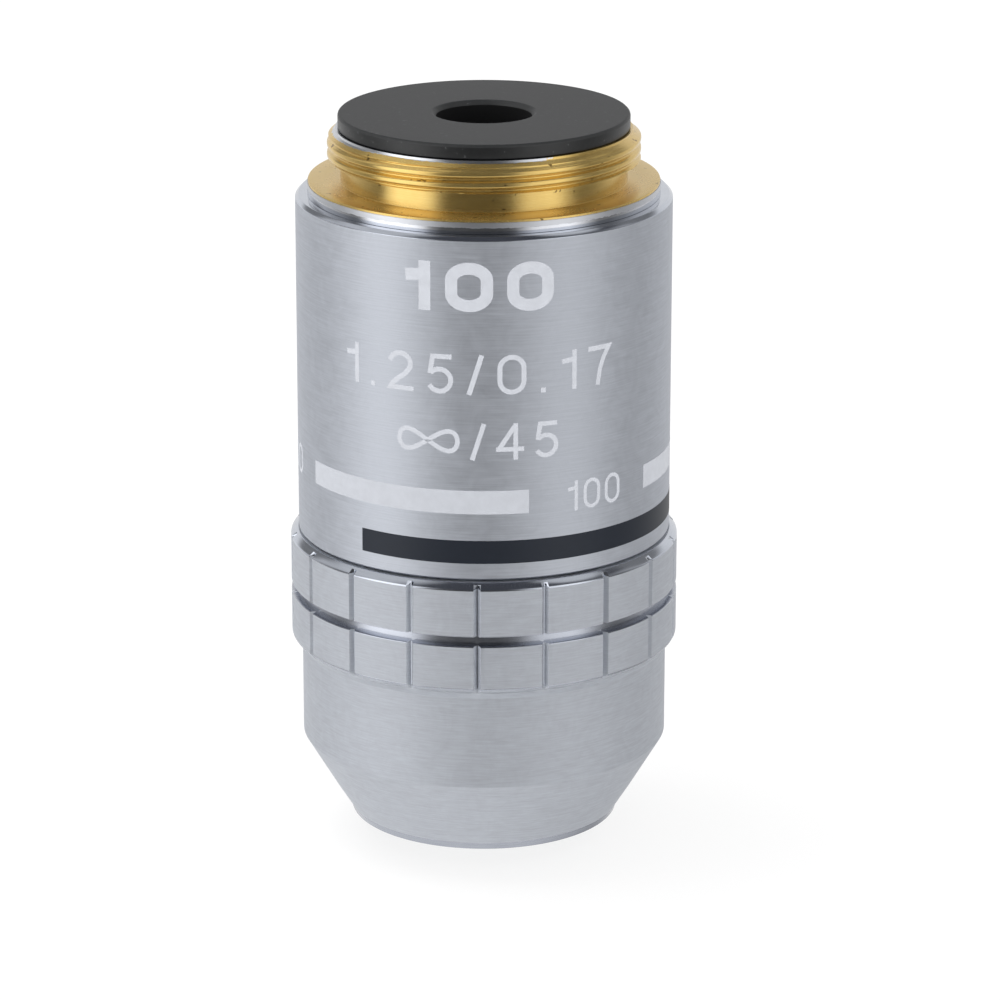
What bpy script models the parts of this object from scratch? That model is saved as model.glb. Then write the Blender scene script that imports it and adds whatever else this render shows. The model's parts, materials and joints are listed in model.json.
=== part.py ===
"""Plan achromatic oil immersion objective, 100 power, with a spring loaded front.

Metres, +Z up.  The objective stands on the flat of its nose, mounting thread up.  The
origin is the centre of that flat and Z is the optical axis.  Every turned piece is a
half profile of (radius, height) points, spun round Z by a Screw modifier.
"""
import math

import bmesh
import bpy

MM = 0.001

# Facets in one turn: what is seen outside, what slides inside, and cells and glass.
OUTER_STEPS = 54
MOUNT_STEPS = 40
INNER_STEPS = 30
LENS_STEPS = 18
ARC_STEPS = 3

# Clearances between pieces.
SEAT_GAP = 0.05 * MM       # a face that rests on the next piece
FIT_GAP = 0.08 * MM        # a screwed or pressed piece in its bore
CELL_GAP = 0.07 * MM       # lens cells in the bore of the carrier
SLIDE_GAP = 0.08 * MM      # the carrier in the body tube
CEMENT_GAP = 0.04 * MM     # between the two glasses of a doublet
GLASS_GAP = 0.06 * MM      # a lens in its cell

# Front sleeve, the knurled outer piece at the front end.
NOSE_REACH = 1.5 * MM            # nose flat to the sleeve's rim
RIM_R = 8.85 * MM
RIM_EDGE_R = 8.98 * MM
RIM_EDGE_HEIGHT = 0.45 * MM
LOWER_CONE_R = 10.05 * MM
LOWER_CONE_HEIGHT = 1.69 * MM
UPPER_CONE_HEIGHT = 3.41 * MM
PLAIN_BAND_HEIGHT = 6.18 * MM    # turned band between the cone and the knurl
KNURL_RISE = 0.69 * MM           # knurl over the plain band
KNURL_FOOT_HEIGHT = 0.79 * MM    # bevel under the lower row
LOWER_ROW_HEIGHT = 2.94 * MM
ROW_GROOVE_WIDTH = 0.63 * MM
UPPER_ROW_HEIGHT = 3.18 * MM
KNURL_TOP_HEIGHT = 0.38 * MM
KNURL_TOP_BEVEL = 0.47 * MM
ROW_GROOVE_DEPTH = 0.42 * MM
GRIP_GROOVES = 18
GRIP_GROOVE_WIDTH = 0.46 * MM
GRIP_GROOVE_FLOOR = 0.16 * MM
GRIP_GROOVE_DEPTH = 0.40 * MM
GRIP_GROOVE_TURN = math.radians(-92.0)   # place of the groove that faces the front
SLEEVE_WALL = 1.13 * MM          # plain band over the body tube
CONE_WALL = 2.3 * MM
NOSE_OPENING_GAP = 0.3 * MM
SLEEVE_LIP_HEIGHT = 1.3 * MM

# Outer barrel.
BARREL_R = 12.24 * MM
BARREL_WALL = 1.29 * MM
BARREL_LENGTH = 22.53 * MM
BARREL_JOINT_GAP = 0.12 * MM     # dark line between the sleeve and the barrel
BARREL_TOP_BEVEL = 0.24 * MM
BARREL_FOOT_BEVEL = 0.12 * MM

# Body tube, the backbone that everything screws on.
TUBE_WALL = 1.9 * MM
TUBE_SKIRT = 1.5 * MM            # tube below the lock ring
TUBE_TOP_BEVEL = 0.3 * MM

# Mount: 20.32 mm RMS thread of 36 turns an inch, 45 mm parfocal shoulder.
THREAD_R = 10.15 * MM
FLANGE_STEP = 0.79 * MM          # flange inside the barrel's edge
FLANGE_HEIGHT = 0.85 * MM
FLANGE_EDGE = 0.15 * MM          # bare brass edge, a hair smaller
FLANGE_EDGE_STEP = 0.05 * MM
NECK_DEPTH = 0.85 * MM
NECK_HEIGHT = 1.15 * MM
NECK_RUNOUT = 0.25 * MM
THREAD_LENGTH = 1.6 * MM
THREAD_END_BEVEL = 0.55 * MM
THREAD_END_HEIGHT = 0.38 * MM
SEAT_OUTSIDE_THREAD = 0.15 * MM  # thread to the ring that bears on the nosepiece
SEAT_DISH = 0.05 * MM            # the shoulder falls away from that ring to the neck
BOSS_LENGTH = 3.2 * MM
BOSS_WALL = 1.35 * MM

# Rear stop, the black plug in the mount.
STOP_R = 9.45 * MM
STOP_RIM_HEIGHT = 0.92 * MM
STOP_ROUND = 0.18 * MM
STOP_PLUG_LENGTH = 1.39 * MM
STOP_HOLE_R = 3.1 * MM
STOP_HOLE_BEVEL = 0.27 * MM

# Nose cell and the front glass.
NOSE_FLAT_R = 4.0 * MM
NOSE_CONE_HEIGHT = 1.3 * MM
NOSE_WALL = 0.75 * MM            # nose outside its threaded spigot
NOSE_LENGTH = 4.75 * MM
SPIGOT_LENGTH = 2.65 * MM
SPIGOT_WALL = 1.05 * MM
FRONT_LENS_FACE_R = 0.98 * MM
FRONT_LENS_HEIGHT = 2.15 * MM
FRONT_LENS_RECESS = 0.05 * MM
FRONT_LENS_BEZEL = 0.1 * MM
FRONT_LENS_STEPS = 6
NOSE_FLOOR = 1.95 * MM

# Meniscus and its cell, loaded into the nose from above.
MENISCUS_CELL_WALL = 1.05 * MM
MENISCUS_LIP = 0.35 * MM
MENISCUS_LIP_HEIGHT = 0.3 * MM
MENISCUS_EDGE = 0.6 * MM
MENISCUS_FRONT_SAG = 0.75 * MM
MENISCUS_BACK_SAG = 1.9 * MM
MENISCUS_RIM = 2.2 * MM
FRONT_SPACER_WALL = 0.7 * MM

# Lens carrier, the sliding barrel that holds the cells.
CARRIER_SHOULDER = 1.89 * MM     # step that rests on the parfocal ring
CARRIER_NECK_WALL = 0.9 * MM
CELL_SEAT = 0.45 * MM            # ledge under the first cell
CARRIER_NECK_LENGTH = 9.2 * MM   # below that step
CARRIER_TOP_RIM = 0.3 * MM
LEDGE_ABOVE_SPIGOT = 0.2 * MM

# Doublets: a flint below and a crown above, cemented.
FIRST_DOUBLET_WALL = 1.45 * MM
FIRST_CEMENT_SAG = 0.95 * MM
FIRST_CROWN_SAG = 0.7 * MM
SECOND_DOUBLET_WALL = 1.75 * MM
SECOND_CEMENT_SAG = 0.8 * MM
SECOND_CROWN_SAG = 0.5 * MM
FLINT_CENTRE = 0.7 * MM
FLINT_BASE_SAG = 0.25 * MM
CROWN_EDGE = 0.9 * MM
CELL_LIP = 0.5 * MM
CELL_LIP_HEIGHT = 0.5 * MM
CELL_RIM = 0.35 * MM

# Rear pair: two thick menisci that face each other with their hollow sides.
REAR_CELL_WALL = 2.3 * MM
REAR_LENS_CENTRE = 2.0 * MM
REAR_HOLLOW_SAG = 0.55 * MM
REAR_OUTER_SAG = 0.8 * MM

# Spacers between the cells, the aperture and the ring that holds the stack.
SPACER_WALL = 1.1 * MM
FIRST_SPACER_LENGTH = 1.5 * MM
SECOND_SPACER_LENGTH = 3.0 * MM
THIRD_SPACER_LENGTH = 1.6 * MM
APERTURE_R = 2.3 * MM
APERTURE_HEIGHT = 0.5 * MM
LOCK_RING_WALL = 1.4 * MM
LOCK_RING_HEIGHT = 1.6 * MM
SPANNER_SLOT_WIDTH = 1.0 * MM
SPANNER_SLOT_DEPTH = 0.6 * MM

# Parfocal ring and its lock ring, screwed into the body tube.
PARFOCAL_HEIGHT = 1.4 * MM
PARFOCAL_LOCK_HEIGHT = 1.15 * MM
PARFOCAL_BORE_GAP = 0.2 * MM

# Spring that lets the front give way when it touches a slide.
TRAVEL = 2.5 * MM
WIRE_R = 0.45 * MM
SPRING_PITCH = 1.9 * MM
SPRING_CLEARANCE = 0.35 * MM
END_TURNS = 0.75
END_PITCH = 0.97 * MM
WIRE_POINTS = 10

# Guide screw: its pin keeps the carrier from turning.
GUIDE_RISE = 10.0 * MM           # above the carrier's shoulder
PIN_R = 0.95 * MM
PIN_GAP = 0.12 * MM
PIN_REACH = 1.1 * MM
HEAD_R = 1.6 * MM
HEAD_HEIGHT = 0.95 * MM
HEAD_SINK = 0.1 * MM
DRIVER_SLOT_WIDTH = 0.4 * MM
DRIVER_SLOT_DEPTH = 0.45 * MM
SCREW_STEPS = 16

# Radii that follow, from the outside in.
TUBE_R = BARREL_R - BARREL_WALL - FIT_GAP
TUBE_BORE_R = TUBE_R - TUBE_WALL
CARRIER_R = TUBE_BORE_R - SLIDE_GAP
SLEEVE_BORE_R = TUBE_R + FIT_GAP
PLAIN_BAND_R = SLEEVE_BORE_R + SLEEVE_WALL
KNURL_R = PLAIN_BAND_R + KNURL_RISE
FLANGE_R = BARREL_R - FLANGE_STEP
BOSS_R = TUBE_BORE_R - FIT_GAP
MOUNT_BORE_R = BOSS_R - BOSS_WALL
SPRING_R = TUBE_BORE_R - SPRING_CLEARANCE - WIRE_R
CARRIER_NECK_R = CARRIER_R - CARRIER_SHOULDER
CARRIER_BORE_R = CARRIER_NECK_R - CARRIER_NECK_WALL
CELL_R = CARRIER_BORE_R - CELL_GAP
SPIGOT_BORE_R = CARRIER_BORE_R - CELL_SEAT
SPIGOT_R = SPIGOT_BORE_R - FIT_GAP
NOSE_R = SPIGOT_R + NOSE_WALL
CHAMBER_R = SPIGOT_R - SPIGOT_WALL
MENISCUS_CELL_R = CHAMBER_R - CELL_GAP
MENISCUS_BORE_R = MENISCUS_CELL_R - MENISCUS_CELL_WALL

# Heights of the sleeve, from its rim up.
RIM_Z = NOSE_REACH
RIM_EDGE_Z = RIM_Z + RIM_EDGE_HEIGHT
LOWER_CONE_Z = RIM_EDGE_Z + LOWER_CONE_HEIGHT
CONE_TOP_Z = LOWER_CONE_Z + UPPER_CONE_HEIGHT
PLAIN_TOP_Z = CONE_TOP_Z + PLAIN_BAND_HEIGHT
LOWER_ROW_Z = PLAIN_TOP_Z + KNURL_FOOT_HEIGHT
ROW_GROOVE_Z = LOWER_ROW_Z + LOWER_ROW_HEIGHT
UPPER_ROW_Z = ROW_GROOVE_Z + ROW_GROOVE_WIDTH
KNURL_BEVEL_Z = UPPER_ROW_Z + UPPER_ROW_HEIGHT
SLEEVE_TOP_Z = KNURL_BEVEL_Z + KNURL_TOP_HEIGHT

# Heights of the barrel, mount and rear stop.
BARREL_FOOT_Z = SLEEVE_TOP_Z + BARREL_JOINT_GAP
BARREL_TOP_Z = BARREL_FOOT_Z + BARREL_LENGTH
FLANGE_Z = BARREL_TOP_Z + SEAT_GAP
SHOULDER_Z = FLANGE_Z + FLANGE_HEIGHT
THREAD_Z = SHOULDER_Z + NECK_HEIGHT + NECK_RUNOUT
THREAD_END_Z = THREAD_Z + THREAD_LENGTH
MOUNT_TOP_Z = THREAD_END_Z + THREAD_END_HEIGHT
BOSS_Z = FLANGE_Z - BOSS_LENGTH
STOP_Z = MOUNT_TOP_Z + SEAT_GAP
STOP_TOP_Z = STOP_Z + STOP_RIM_HEIGHT

# Heights of the carrier and of what it rests on.
CARRIER_Z = NOSE_LENGTH + SEAT_GAP
SPIGOT_TOP_Z = NOSE_LENGTH + SPIGOT_LENGTH
LEDGE_Z = SPIGOT_TOP_Z + LEDGE_ABOVE_SPIGOT
CARRIER_SHOULDER_Z = CARRIER_Z + CARRIER_NECK_LENGTH
PARFOCAL_Z = CARRIER_SHOULDER_Z - SEAT_GAP - PARFOCAL_HEIGHT
PARFOCAL_LOCK_Z = PARFOCAL_Z - SEAT_GAP - PARFOCAL_LOCK_HEIGHT
TUBE_Z = PARFOCAL_LOCK_Z - TUBE_SKIRT
TUBE_TOP_Z = FLANGE_Z - SEAT_GAP
GUIDE_Z = CARRIER_SHOULDER_Z + GUIDE_RISE


def clear_scene():
    """Empty the file of objects and give back the two collections that are filled."""
    for old in list(bpy.data.objects):
        bpy.data.objects.remove(old, do_unlink=True)
    groups = []
    for name in ("microscope_objective", "cutters"):
        group = bpy.data.collections.new(name)
        bpy.context.scene.collection.children.link(group)
        groups.append(group)
    return groups


def make_material(name, colour, roughness, metallic, transmission=0.0):
    """Principled material; glass takes a transmission above zero."""
    material = bpy.data.materials.new(name)
    material.use_nodes = True
    shader = material.node_tree.nodes["Principled BSDF"]
    shader.inputs["Base Color"].default_value = (*colour, 1.0)
    shader.inputs["Roughness"].default_value = roughness
    shader.inputs["Metallic"].default_value = metallic
    shader.inputs["Transmission Weight"].default_value = transmission
    return material


def make_mesh(name, bm, group, material=None):
    """Turn a bmesh into an object of the given collection."""
    mesh = bpy.data.meshes.new(name)
    bm.to_mesh(mesh)
    bm.free()
    piece = bpy.data.objects.new(name, mesh)
    if material:
        mesh.materials.append(material)
    group.objects.link(piece)
    return piece


def turned(name, profile, material, group, steps, closed=True):
    """Spin a half profile round Z; a closed one is a ring, an open one ends on the axis."""
    bm = bmesh.new()
    points = [bm.verts.new((radius, 0.0, height)) for radius, height in profile]
    for first, second in zip(points, points[1:]):
        bm.edges.new((first, second))
    if closed:
        bm.edges.new((points[-1], points[0]))
    piece = make_mesh(name, bm, group, material)
    screw = piece.modifiers.new("turn", "SCREW")
    screw.steps = steps
    screw.render_steps = steps
    screw.use_merge_vertices = True
    screw.merge_threshold = 0.000001
    return piece


def ring(bore, radius, low, high):
    """Profile of a plain ring."""
    return [(radius, high), (radius, low), (bore, low), (bore, high)]


def cap(radius, sag, rim, steps=ARC_STEPS):
    """Points of a spherical cap from the axis out to its rim; a negative sag is hollow."""
    depth = abs(sag)
    ball = (radius ** 2 + depth ** 2) / (2.0 * depth)
    half_angle = math.atan2(radius, ball - depth)
    points = []
    for step in range(steps + 1):
        angle = half_angle * step / steps
        height = depth - ball * (1.0 - math.cos(angle))
        points.append((ball * math.sin(angle), rim + math.copysign(height, sag) if step < steps else rim))
    return points


def bulge(radius, sag, seat_r):
    """How far a cap with its rim at radius stands proud of that rim at the seat's radius."""
    ball = (radius ** 2 + sag ** 2) / (2.0 * sag)
    return math.sqrt(ball ** 2 - seat_r ** 2) - math.sqrt(ball ** 2 - radius ** 2)


def lens(name, radius, low, low_sag, high, high_sag, material, group):
    """Glass with its edge from low to high; a sag above zero rises above that edge."""
    upper = cap(radius, high_sag, high)
    lower = cap(radius, low_sag, low)
    return turned(name, upper + lower[::-1], material, group, LENS_STEPS, closed=False)


def cut(piece, cutter):
    """Take a cutter away from a piece."""
    boolean = piece.modifiers.new("cut", "BOOLEAN")
    boolean.operation = "DIFFERENCE"
    boolean.solver = "EXACT"
    boolean.object = cutter
    cutter.hide_render = True
    cutter.display_type = "WIRE"


def block(name, group, low, high):
    """Box cutter between two corners."""
    bm = bmesh.new()
    bmesh.ops.create_cube(bm, size=1.0)
    for vert in bm.verts:
        vert.co = [a + (share + 0.5) * (b - a) for a, b, share in zip(low, high, vert.co)]
    return make_mesh(name, bm, group)


def radial(piece, reach, height):
    """Lay a piece that was turned round Z along +X, with its foot at a given reach."""
    piece.location = (reach, 0.0, height)
    piece.rotation_euler = (0.0, math.radians(90.0), 0.0)
    return piece


def front_sleeve(metal, group, cutters):
    """Knurled sleeve: cone, plain band and two rows of grip blocks, turned as one."""
    groove_r = KNURL_R - ROW_GROOVE_DEPTH
    lip_top = RIM_Z + SLEEVE_LIP_HEIGHT
    seat = TUBE_Z - SEAT_GAP
    outside = [
        (KNURL_R - KNURL_TOP_BEVEL, SLEEVE_TOP_Z),
        (KNURL_R, KNURL_BEVEL_Z),
        (KNURL_R, UPPER_ROW_Z),
        (groove_r, UPPER_ROW_Z),
        (groove_r, ROW_GROOVE_Z),
        (KNURL_R, ROW_GROOVE_Z),
        (KNURL_R, LOWER_ROW_Z),
        (PLAIN_BAND_R, PLAIN_TOP_Z),
        (PLAIN_BAND_R, CONE_TOP_Z),
        (LOWER_CONE_R, LOWER_CONE_Z),
        (RIM_EDGE_R, RIM_EDGE_Z),
        (RIM_R, RIM_Z),
    ]
    inside = [
        (NOSE_R + NOSE_OPENING_GAP, RIM_Z),
        (NOSE_R + NOSE_OPENING_GAP, lip_top),
        (LOWER_CONE_R - CONE_WALL, lip_top),
        (PLAIN_BAND_R - CONE_WALL, CONE_TOP_Z),
        (PLAIN_BAND_R - CONE_WALL, seat),
        (SLEEVE_BORE_R, seat),
        (SLEEVE_BORE_R, SLEEVE_TOP_Z),
    ]
    sleeve = turned("front_sleeve", outside + inside, metal, group, OUTER_STEPS)
    cut(sleeve, grip_cutter(cutters))
    return sleeve


def grip_cutter(group):
    """Tapered bars, one for each upright groove of the knurl."""
    floor_r = KNURL_R - GRIP_GROOVE_DEPTH
    over = GRIP_GROOVE_DEPTH
    spread = (GRIP_GROOVE_WIDTH - GRIP_GROOVE_FLOOR) / 2.0
    bm = bmesh.new()
    for number in range(GRIP_GROOVES):
        bar = bmesh.ops.create_cube(bm, size=1.0)["verts"]
        for vert in bar:
            outer = vert.co.x > 0.0
            half_width = GRIP_GROOVE_FLOOR / 2.0 + (2.0 * spread if outer else 0.0)
            vert.co.x = floor_r + (2.0 * over if outer else 0.0)
            vert.co.y = math.copysign(half_width, vert.co.y)
            vert.co.z = SLEEVE_TOP_Z + over if vert.co.z > 0.0 else PLAIN_TOP_Z - over
        turn = GRIP_GROOVE_TURN + 2.0 * math.pi * number / GRIP_GROOVES
        spin = [(vert, vert.co.copy()) for vert in bar]
        for vert, place in spin:
            vert.co.x = place.x * math.cos(turn) - place.y * math.sin(turn)
            vert.co.y = place.x * math.sin(turn) + place.y * math.cos(turn)
    return make_mesh("grip_grooves", bm, group)


def outer_barrel(metal, group):
    """Plain cover that carries the engraving, held between sleeve and mount flange."""
    bore = BARREL_R - BARREL_WALL
    profile = [
        (BARREL_R - BARREL_TOP_BEVEL, BARREL_TOP_Z),
        (BARREL_R, BARREL_TOP_Z - BARREL_TOP_BEVEL),
        (BARREL_R, BARREL_FOOT_Z + BARREL_FOOT_BEVEL),
        (BARREL_R - BARREL_FOOT_BEVEL, BARREL_FOOT_Z),
        (bore, BARREL_FOOT_Z),
        (bore, BARREL_TOP_Z),
    ]
    return turned("outer_barrel", profile, metal, group, OUTER_STEPS)


def thread_mount(brass, group):
    """Brass mount: flange, thread relief, thread and the boss that holds the body tube."""
    neck_r = THREAD_R - NECK_DEPTH
    edge_r = FLANGE_R - FLANGE_EDGE_STEP
    profile = [
        (THREAD_R - THREAD_END_BEVEL, MOUNT_TOP_Z),
        (THREAD_R, THREAD_END_Z),
        (THREAD_R, THREAD_Z),
        (neck_r, THREAD_Z - NECK_RUNOUT),
        (neck_r, SHOULDER_Z - SEAT_DISH),
        (THREAD_R + SEAT_OUTSIDE_THREAD, SHOULDER_Z),
        (edge_r, SHOULDER_Z),
        (edge_r, SHOULDER_Z - FLANGE_EDGE),
        (FLANGE_R, SHOULDER_Z - FLANGE_EDGE),
        (FLANGE_R, FLANGE_Z),
        (BOSS_R, FLANGE_Z),
        (BOSS_R, BOSS_Z),
        (MOUNT_BORE_R, BOSS_Z),
        (MOUNT_BORE_R, MOUNT_TOP_Z),
    ]
    return turned("thread_mount", profile, brass, group, MOUNT_STEPS)


def rear_stop(plastic, group):
    """Black plug with the small rear hole, pressed into the end of the mount."""
    plug_r = MOUNT_BORE_R - FIT_GAP
    plug_z = STOP_Z - STOP_PLUG_LENGTH
    profile = [
        (STOP_R - STOP_ROUND, STOP_TOP_Z),
        (STOP_R, STOP_TOP_Z - STOP_ROUND),
        (STOP_R, STOP_Z),
        (plug_r, STOP_Z),
        (plug_r, plug_z),
        (STOP_HOLE_R, plug_z),
        (STOP_HOLE_R, STOP_TOP_Z - STOP_HOLE_BEVEL),
        (STOP_HOLE_R + STOP_HOLE_BEVEL, STOP_TOP_Z),
    ]
    return turned("rear_stop", profile, plastic, group, MOUNT_STEPS)


def body_tube(metal, group, cutters):
    """Inner tube: the mount, the sleeve and the parfocal rings screw into or onto it."""
    profile = [
        (TUBE_R - TUBE_TOP_BEVEL, TUBE_TOP_Z),
        (TUBE_R, TUBE_TOP_Z - TUBE_TOP_BEVEL),
        (TUBE_R, TUBE_Z),
        (TUBE_BORE_R, TUBE_Z),
        (TUBE_BORE_R, TUBE_TOP_Z),
    ]
    tube = turned("body_tube", profile, metal, group, INNER_STEPS)
    cut(tube, guide_hole(cutters))
    return tube


def guide_hole(group):
    """Stepped cutter for the guide screw, along +X through the wall of the tube."""
    head_foot = TUBE_R - HEAD_SINK - HEAD_HEIGHT - SEAT_GAP
    start = TUBE_BORE_R - TUBE_WALL / 2.0
    profile = [
        (0.0, TUBE_R + TUBE_WALL - start),
        (HEAD_R + FIT_GAP, TUBE_R + TUBE_WALL - start),
        (HEAD_R + FIT_GAP, head_foot - start),
        (PIN_R + FIT_GAP, head_foot - start),
        (PIN_R + FIT_GAP, 0.0),
        (0.0, 0.0),
    ]
    cutter = turned("guide_hole", profile, None, group, SCREW_STEPS, closed=False)
    return radial(cutter, start, GUIDE_Z)


def guide_screw(steel, group, cutters):
    """Slotted screw whose pin stands in the slot of the carrier."""
    length = PIN_REACH + SLIDE_GAP + TUBE_WALL - HEAD_SINK
    foot = CARRIER_R - PIN_REACH
    profile = [
        (0.0, length),
        (HEAD_R, length),
        (HEAD_R, length - HEAD_HEIGHT),
        (PIN_R, length - HEAD_HEIGHT),
        (PIN_R, 0.0),
        (0.0, 0.0),
    ]
    screw = turned("guide_screw", profile, steel, group, SCREW_STEPS, closed=False)
    radial(screw, foot, GUIDE_Z)
    top = foot + length
    half = DRIVER_SLOT_WIDTH / 2.0
    slot = block(
        "driver_slot", cutters,
        (top - DRIVER_SLOT_DEPTH, -half, GUIDE_Z - 2.0 * HEAD_R),
        (top + DRIVER_SLOT_DEPTH, half, GUIDE_Z + 2.0 * HEAD_R),
    )
    cut(screw, slot)
    return screw


def spanner_slot(name, group, height):
    """Bar across the bore, for the two notches of a ring that a spanner turns."""
    half = SPANNER_SLOT_WIDTH / 2.0
    return block(
        name, group,
        (-2.0 * BARREL_R, -half, height - SPANNER_SLOT_DEPTH),
        (2.0 * BARREL_R, half, height + SPANNER_SLOT_DEPTH),
    )


def parfocal_rings(brass, group, cutters):
    """Ring that the carrier's shoulder rests on, and the ring that locks it."""
    bore = CARRIER_NECK_R + PARFOCAL_BORE_GAP
    rings = []
    for name, low, height in (
        ("parfocal_ring", PARFOCAL_Z, PARFOCAL_HEIGHT),
        ("parfocal_lock_ring", PARFOCAL_LOCK_Z, PARFOCAL_LOCK_HEIGHT),
    ):
        piece = turned(name, ring(bore, BOSS_R, low, low + height), brass, group, INNER_STEPS)
        cut(piece, spanner_slot(name + "_slot", cutters, low))
        rings.append(piece)
    return rings


def lens_carrier(brass, group, cutters, top):
    """Sliding barrel: shoulder below, bore with a ledge for the cells, guide slot."""
    profile = [
        (CARRIER_R, top),
        (CARRIER_R, CARRIER_SHOULDER_Z),
        (CARRIER_NECK_R, CARRIER_SHOULDER_Z),
        (CARRIER_NECK_R, CARRIER_Z),
        (SPIGOT_BORE_R, CARRIER_Z),
        (SPIGOT_BORE_R, LEDGE_Z),
        (CARRIER_BORE_R, LEDGE_Z),
        (CARRIER_BORE_R, top),
    ]
    carrier = turned("lens_carrier", profile, brass, group, INNER_STEPS)
    half = PIN_R + PIN_GAP
    slot = block(
        "carrier_slot", cutters,
        (CARRIER_R - PIN_REACH - PIN_GAP, -half, GUIDE_Z - half - TRAVEL),
        (CARRIER_R + TUBE_WALL, half, GUIDE_Z + half),
    )
    cut(carrier, slot)
    return carrier


def nose_cell(metal, group):
    """Conical nose with the seat of the front lens, screwed into the carrier."""
    ball = (FRONT_LENS_FACE_R ** 2 + FRONT_LENS_HEIGHT ** 2) / (2.0 * FRONT_LENS_HEIGHT)
    equator = FRONT_LENS_RECESS + FRONT_LENS_HEIGHT - ball
    seat_r = ball + FRONT_LENS_BEZEL
    profile = [
        (SPIGOT_R, SPIGOT_TOP_Z),
        (SPIGOT_R, NOSE_LENGTH),
        (NOSE_R, NOSE_LENGTH),
        (NOSE_R, NOSE_CONE_HEIGHT),
        (NOSE_FLAT_R, 0.0),
        (FRONT_LENS_FACE_R + FRONT_LENS_BEZEL, 0.0),
        (math.sqrt(seat_r ** 2 - (equator / 2.0) ** 2), equator / 2.0),
        (seat_r, equator),
        (seat_r, NOSE_FLOOR),
        (CHAMBER_R, NOSE_FLOOR),
        (CHAMBER_R, SPIGOT_TOP_Z),
    ]
    return turned("nose_cell", profile, metal, group, INNER_STEPS)


def front_group(glass, brass, group):
    """Front lens, meniscus, meniscus cell and the spacer that fills the nose."""
    face = FRONT_LENS_RECESS
    dome = cap(FRONT_LENS_FACE_R, FRONT_LENS_HEIGHT, face, FRONT_LENS_STEPS)
    front = turned("front_lens", dome + [(0.0, face)], glass, group, LENS_STEPS, closed=False)

    low = NOSE_FLOOR + SEAT_GAP
    lip_top = low + MENISCUS_LIP_HEIGHT
    rim = lip_top + MENISCUS_RIM
    lip_r = MENISCUS_BORE_R - MENISCUS_LIP
    profile = [
        (MENISCUS_CELL_R, rim),
        (MENISCUS_CELL_R, low),
        (lip_r, low),
        (lip_r, lip_top),
        (MENISCUS_BORE_R, lip_top),
        (MENISCUS_BORE_R, rim),
    ]
    cell = turned("meniscus_cell", profile, brass, group, LENS_STEPS)
    edge = lip_top + GLASS_GAP
    meniscus = lens(
        "meniscus_lens", MENISCUS_BORE_R - GLASS_GAP, edge, MENISCUS_FRONT_SAG,
        edge + MENISCUS_EDGE, MENISCUS_BACK_SAG, glass, group,
    )
    spacer = turned(
        "front_spacer",
        ring(MENISCUS_CELL_R - FRONT_SPACER_WALL, MENISCUS_CELL_R, rim + SEAT_GAP, SPIGOT_TOP_Z),
        brass, group, LENS_STEPS,
    )
    return [front, cell, meniscus, spacer]


def cell_profile(bore, low, height):
    """Cell with a lip below that the glass rests on."""
    lip_top = low + CELL_LIP_HEIGHT
    return [
        (CELL_R, low + height),
        (CELL_R, low),
        (bore - CELL_LIP, low),
        (bore - CELL_LIP, lip_top),
        (bore, lip_top),
        (bore, low + height),
    ]


def doublet(name, wall, cement_sag, crown_sag, low, crown, flint, brass, group):
    """Cell with a cemented pair; gives back its pieces and the height of its top."""
    bore = CELL_R - wall
    radius = bore - GLASS_GAP
    flint_low = low + CELL_LIP_HEIGHT + GLASS_GAP
    flint_high = flint_low + FLINT_BASE_SAG + FLINT_CENTRE + cement_sag
    crown_low = flint_high + CEMENT_GAP
    crown_high = crown_low + CROWN_EDGE
    top = crown_high + CELL_RIM
    pieces = [
        turned(name + "_cell", cell_profile(bore, low, top - low), brass, group, LENS_STEPS),
        lens(name + "_flint", radius, flint_low, FLINT_BASE_SAG,
             flint_high, -cement_sag, flint, group),
        lens(name + "_crown", radius, crown_low, -cement_sag,
             crown_high, crown_sag, crown, group),
    ]
    return pieces, top


def rear_meniscus(name, low, hollow_up, glass, brass, group):
    """Cell with one thick meniscus, hollow above or below."""
    bore = CELL_R - REAR_CELL_WALL
    radius = bore - GLASS_GAP
    lens_low = low + CELL_LIP_HEIGHT + GLASS_GAP
    if hollow_up:
        lens_low += bulge(radius, REAR_OUTER_SAG, bore - CELL_LIP)
        lower_sag, upper_sag = -REAR_OUTER_SAG, -REAR_HOLLOW_SAG
    else:
        lower_sag, upper_sag = REAR_HOLLOW_SAG, REAR_OUTER_SAG
    lens_high = lens_low + lower_sag + REAR_LENS_CENTRE - upper_sag
    top = lens_high + max(upper_sag, 0.0) + CELL_RIM
    pieces = [
        turned(name + "_cell", cell_profile(bore, low, top - low), brass, group, LENS_STEPS),
        lens(name + "_lens", radius, lens_low, lower_sag,
             lens_high, upper_sag, glass, group),
    ]
    return pieces, top


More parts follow.
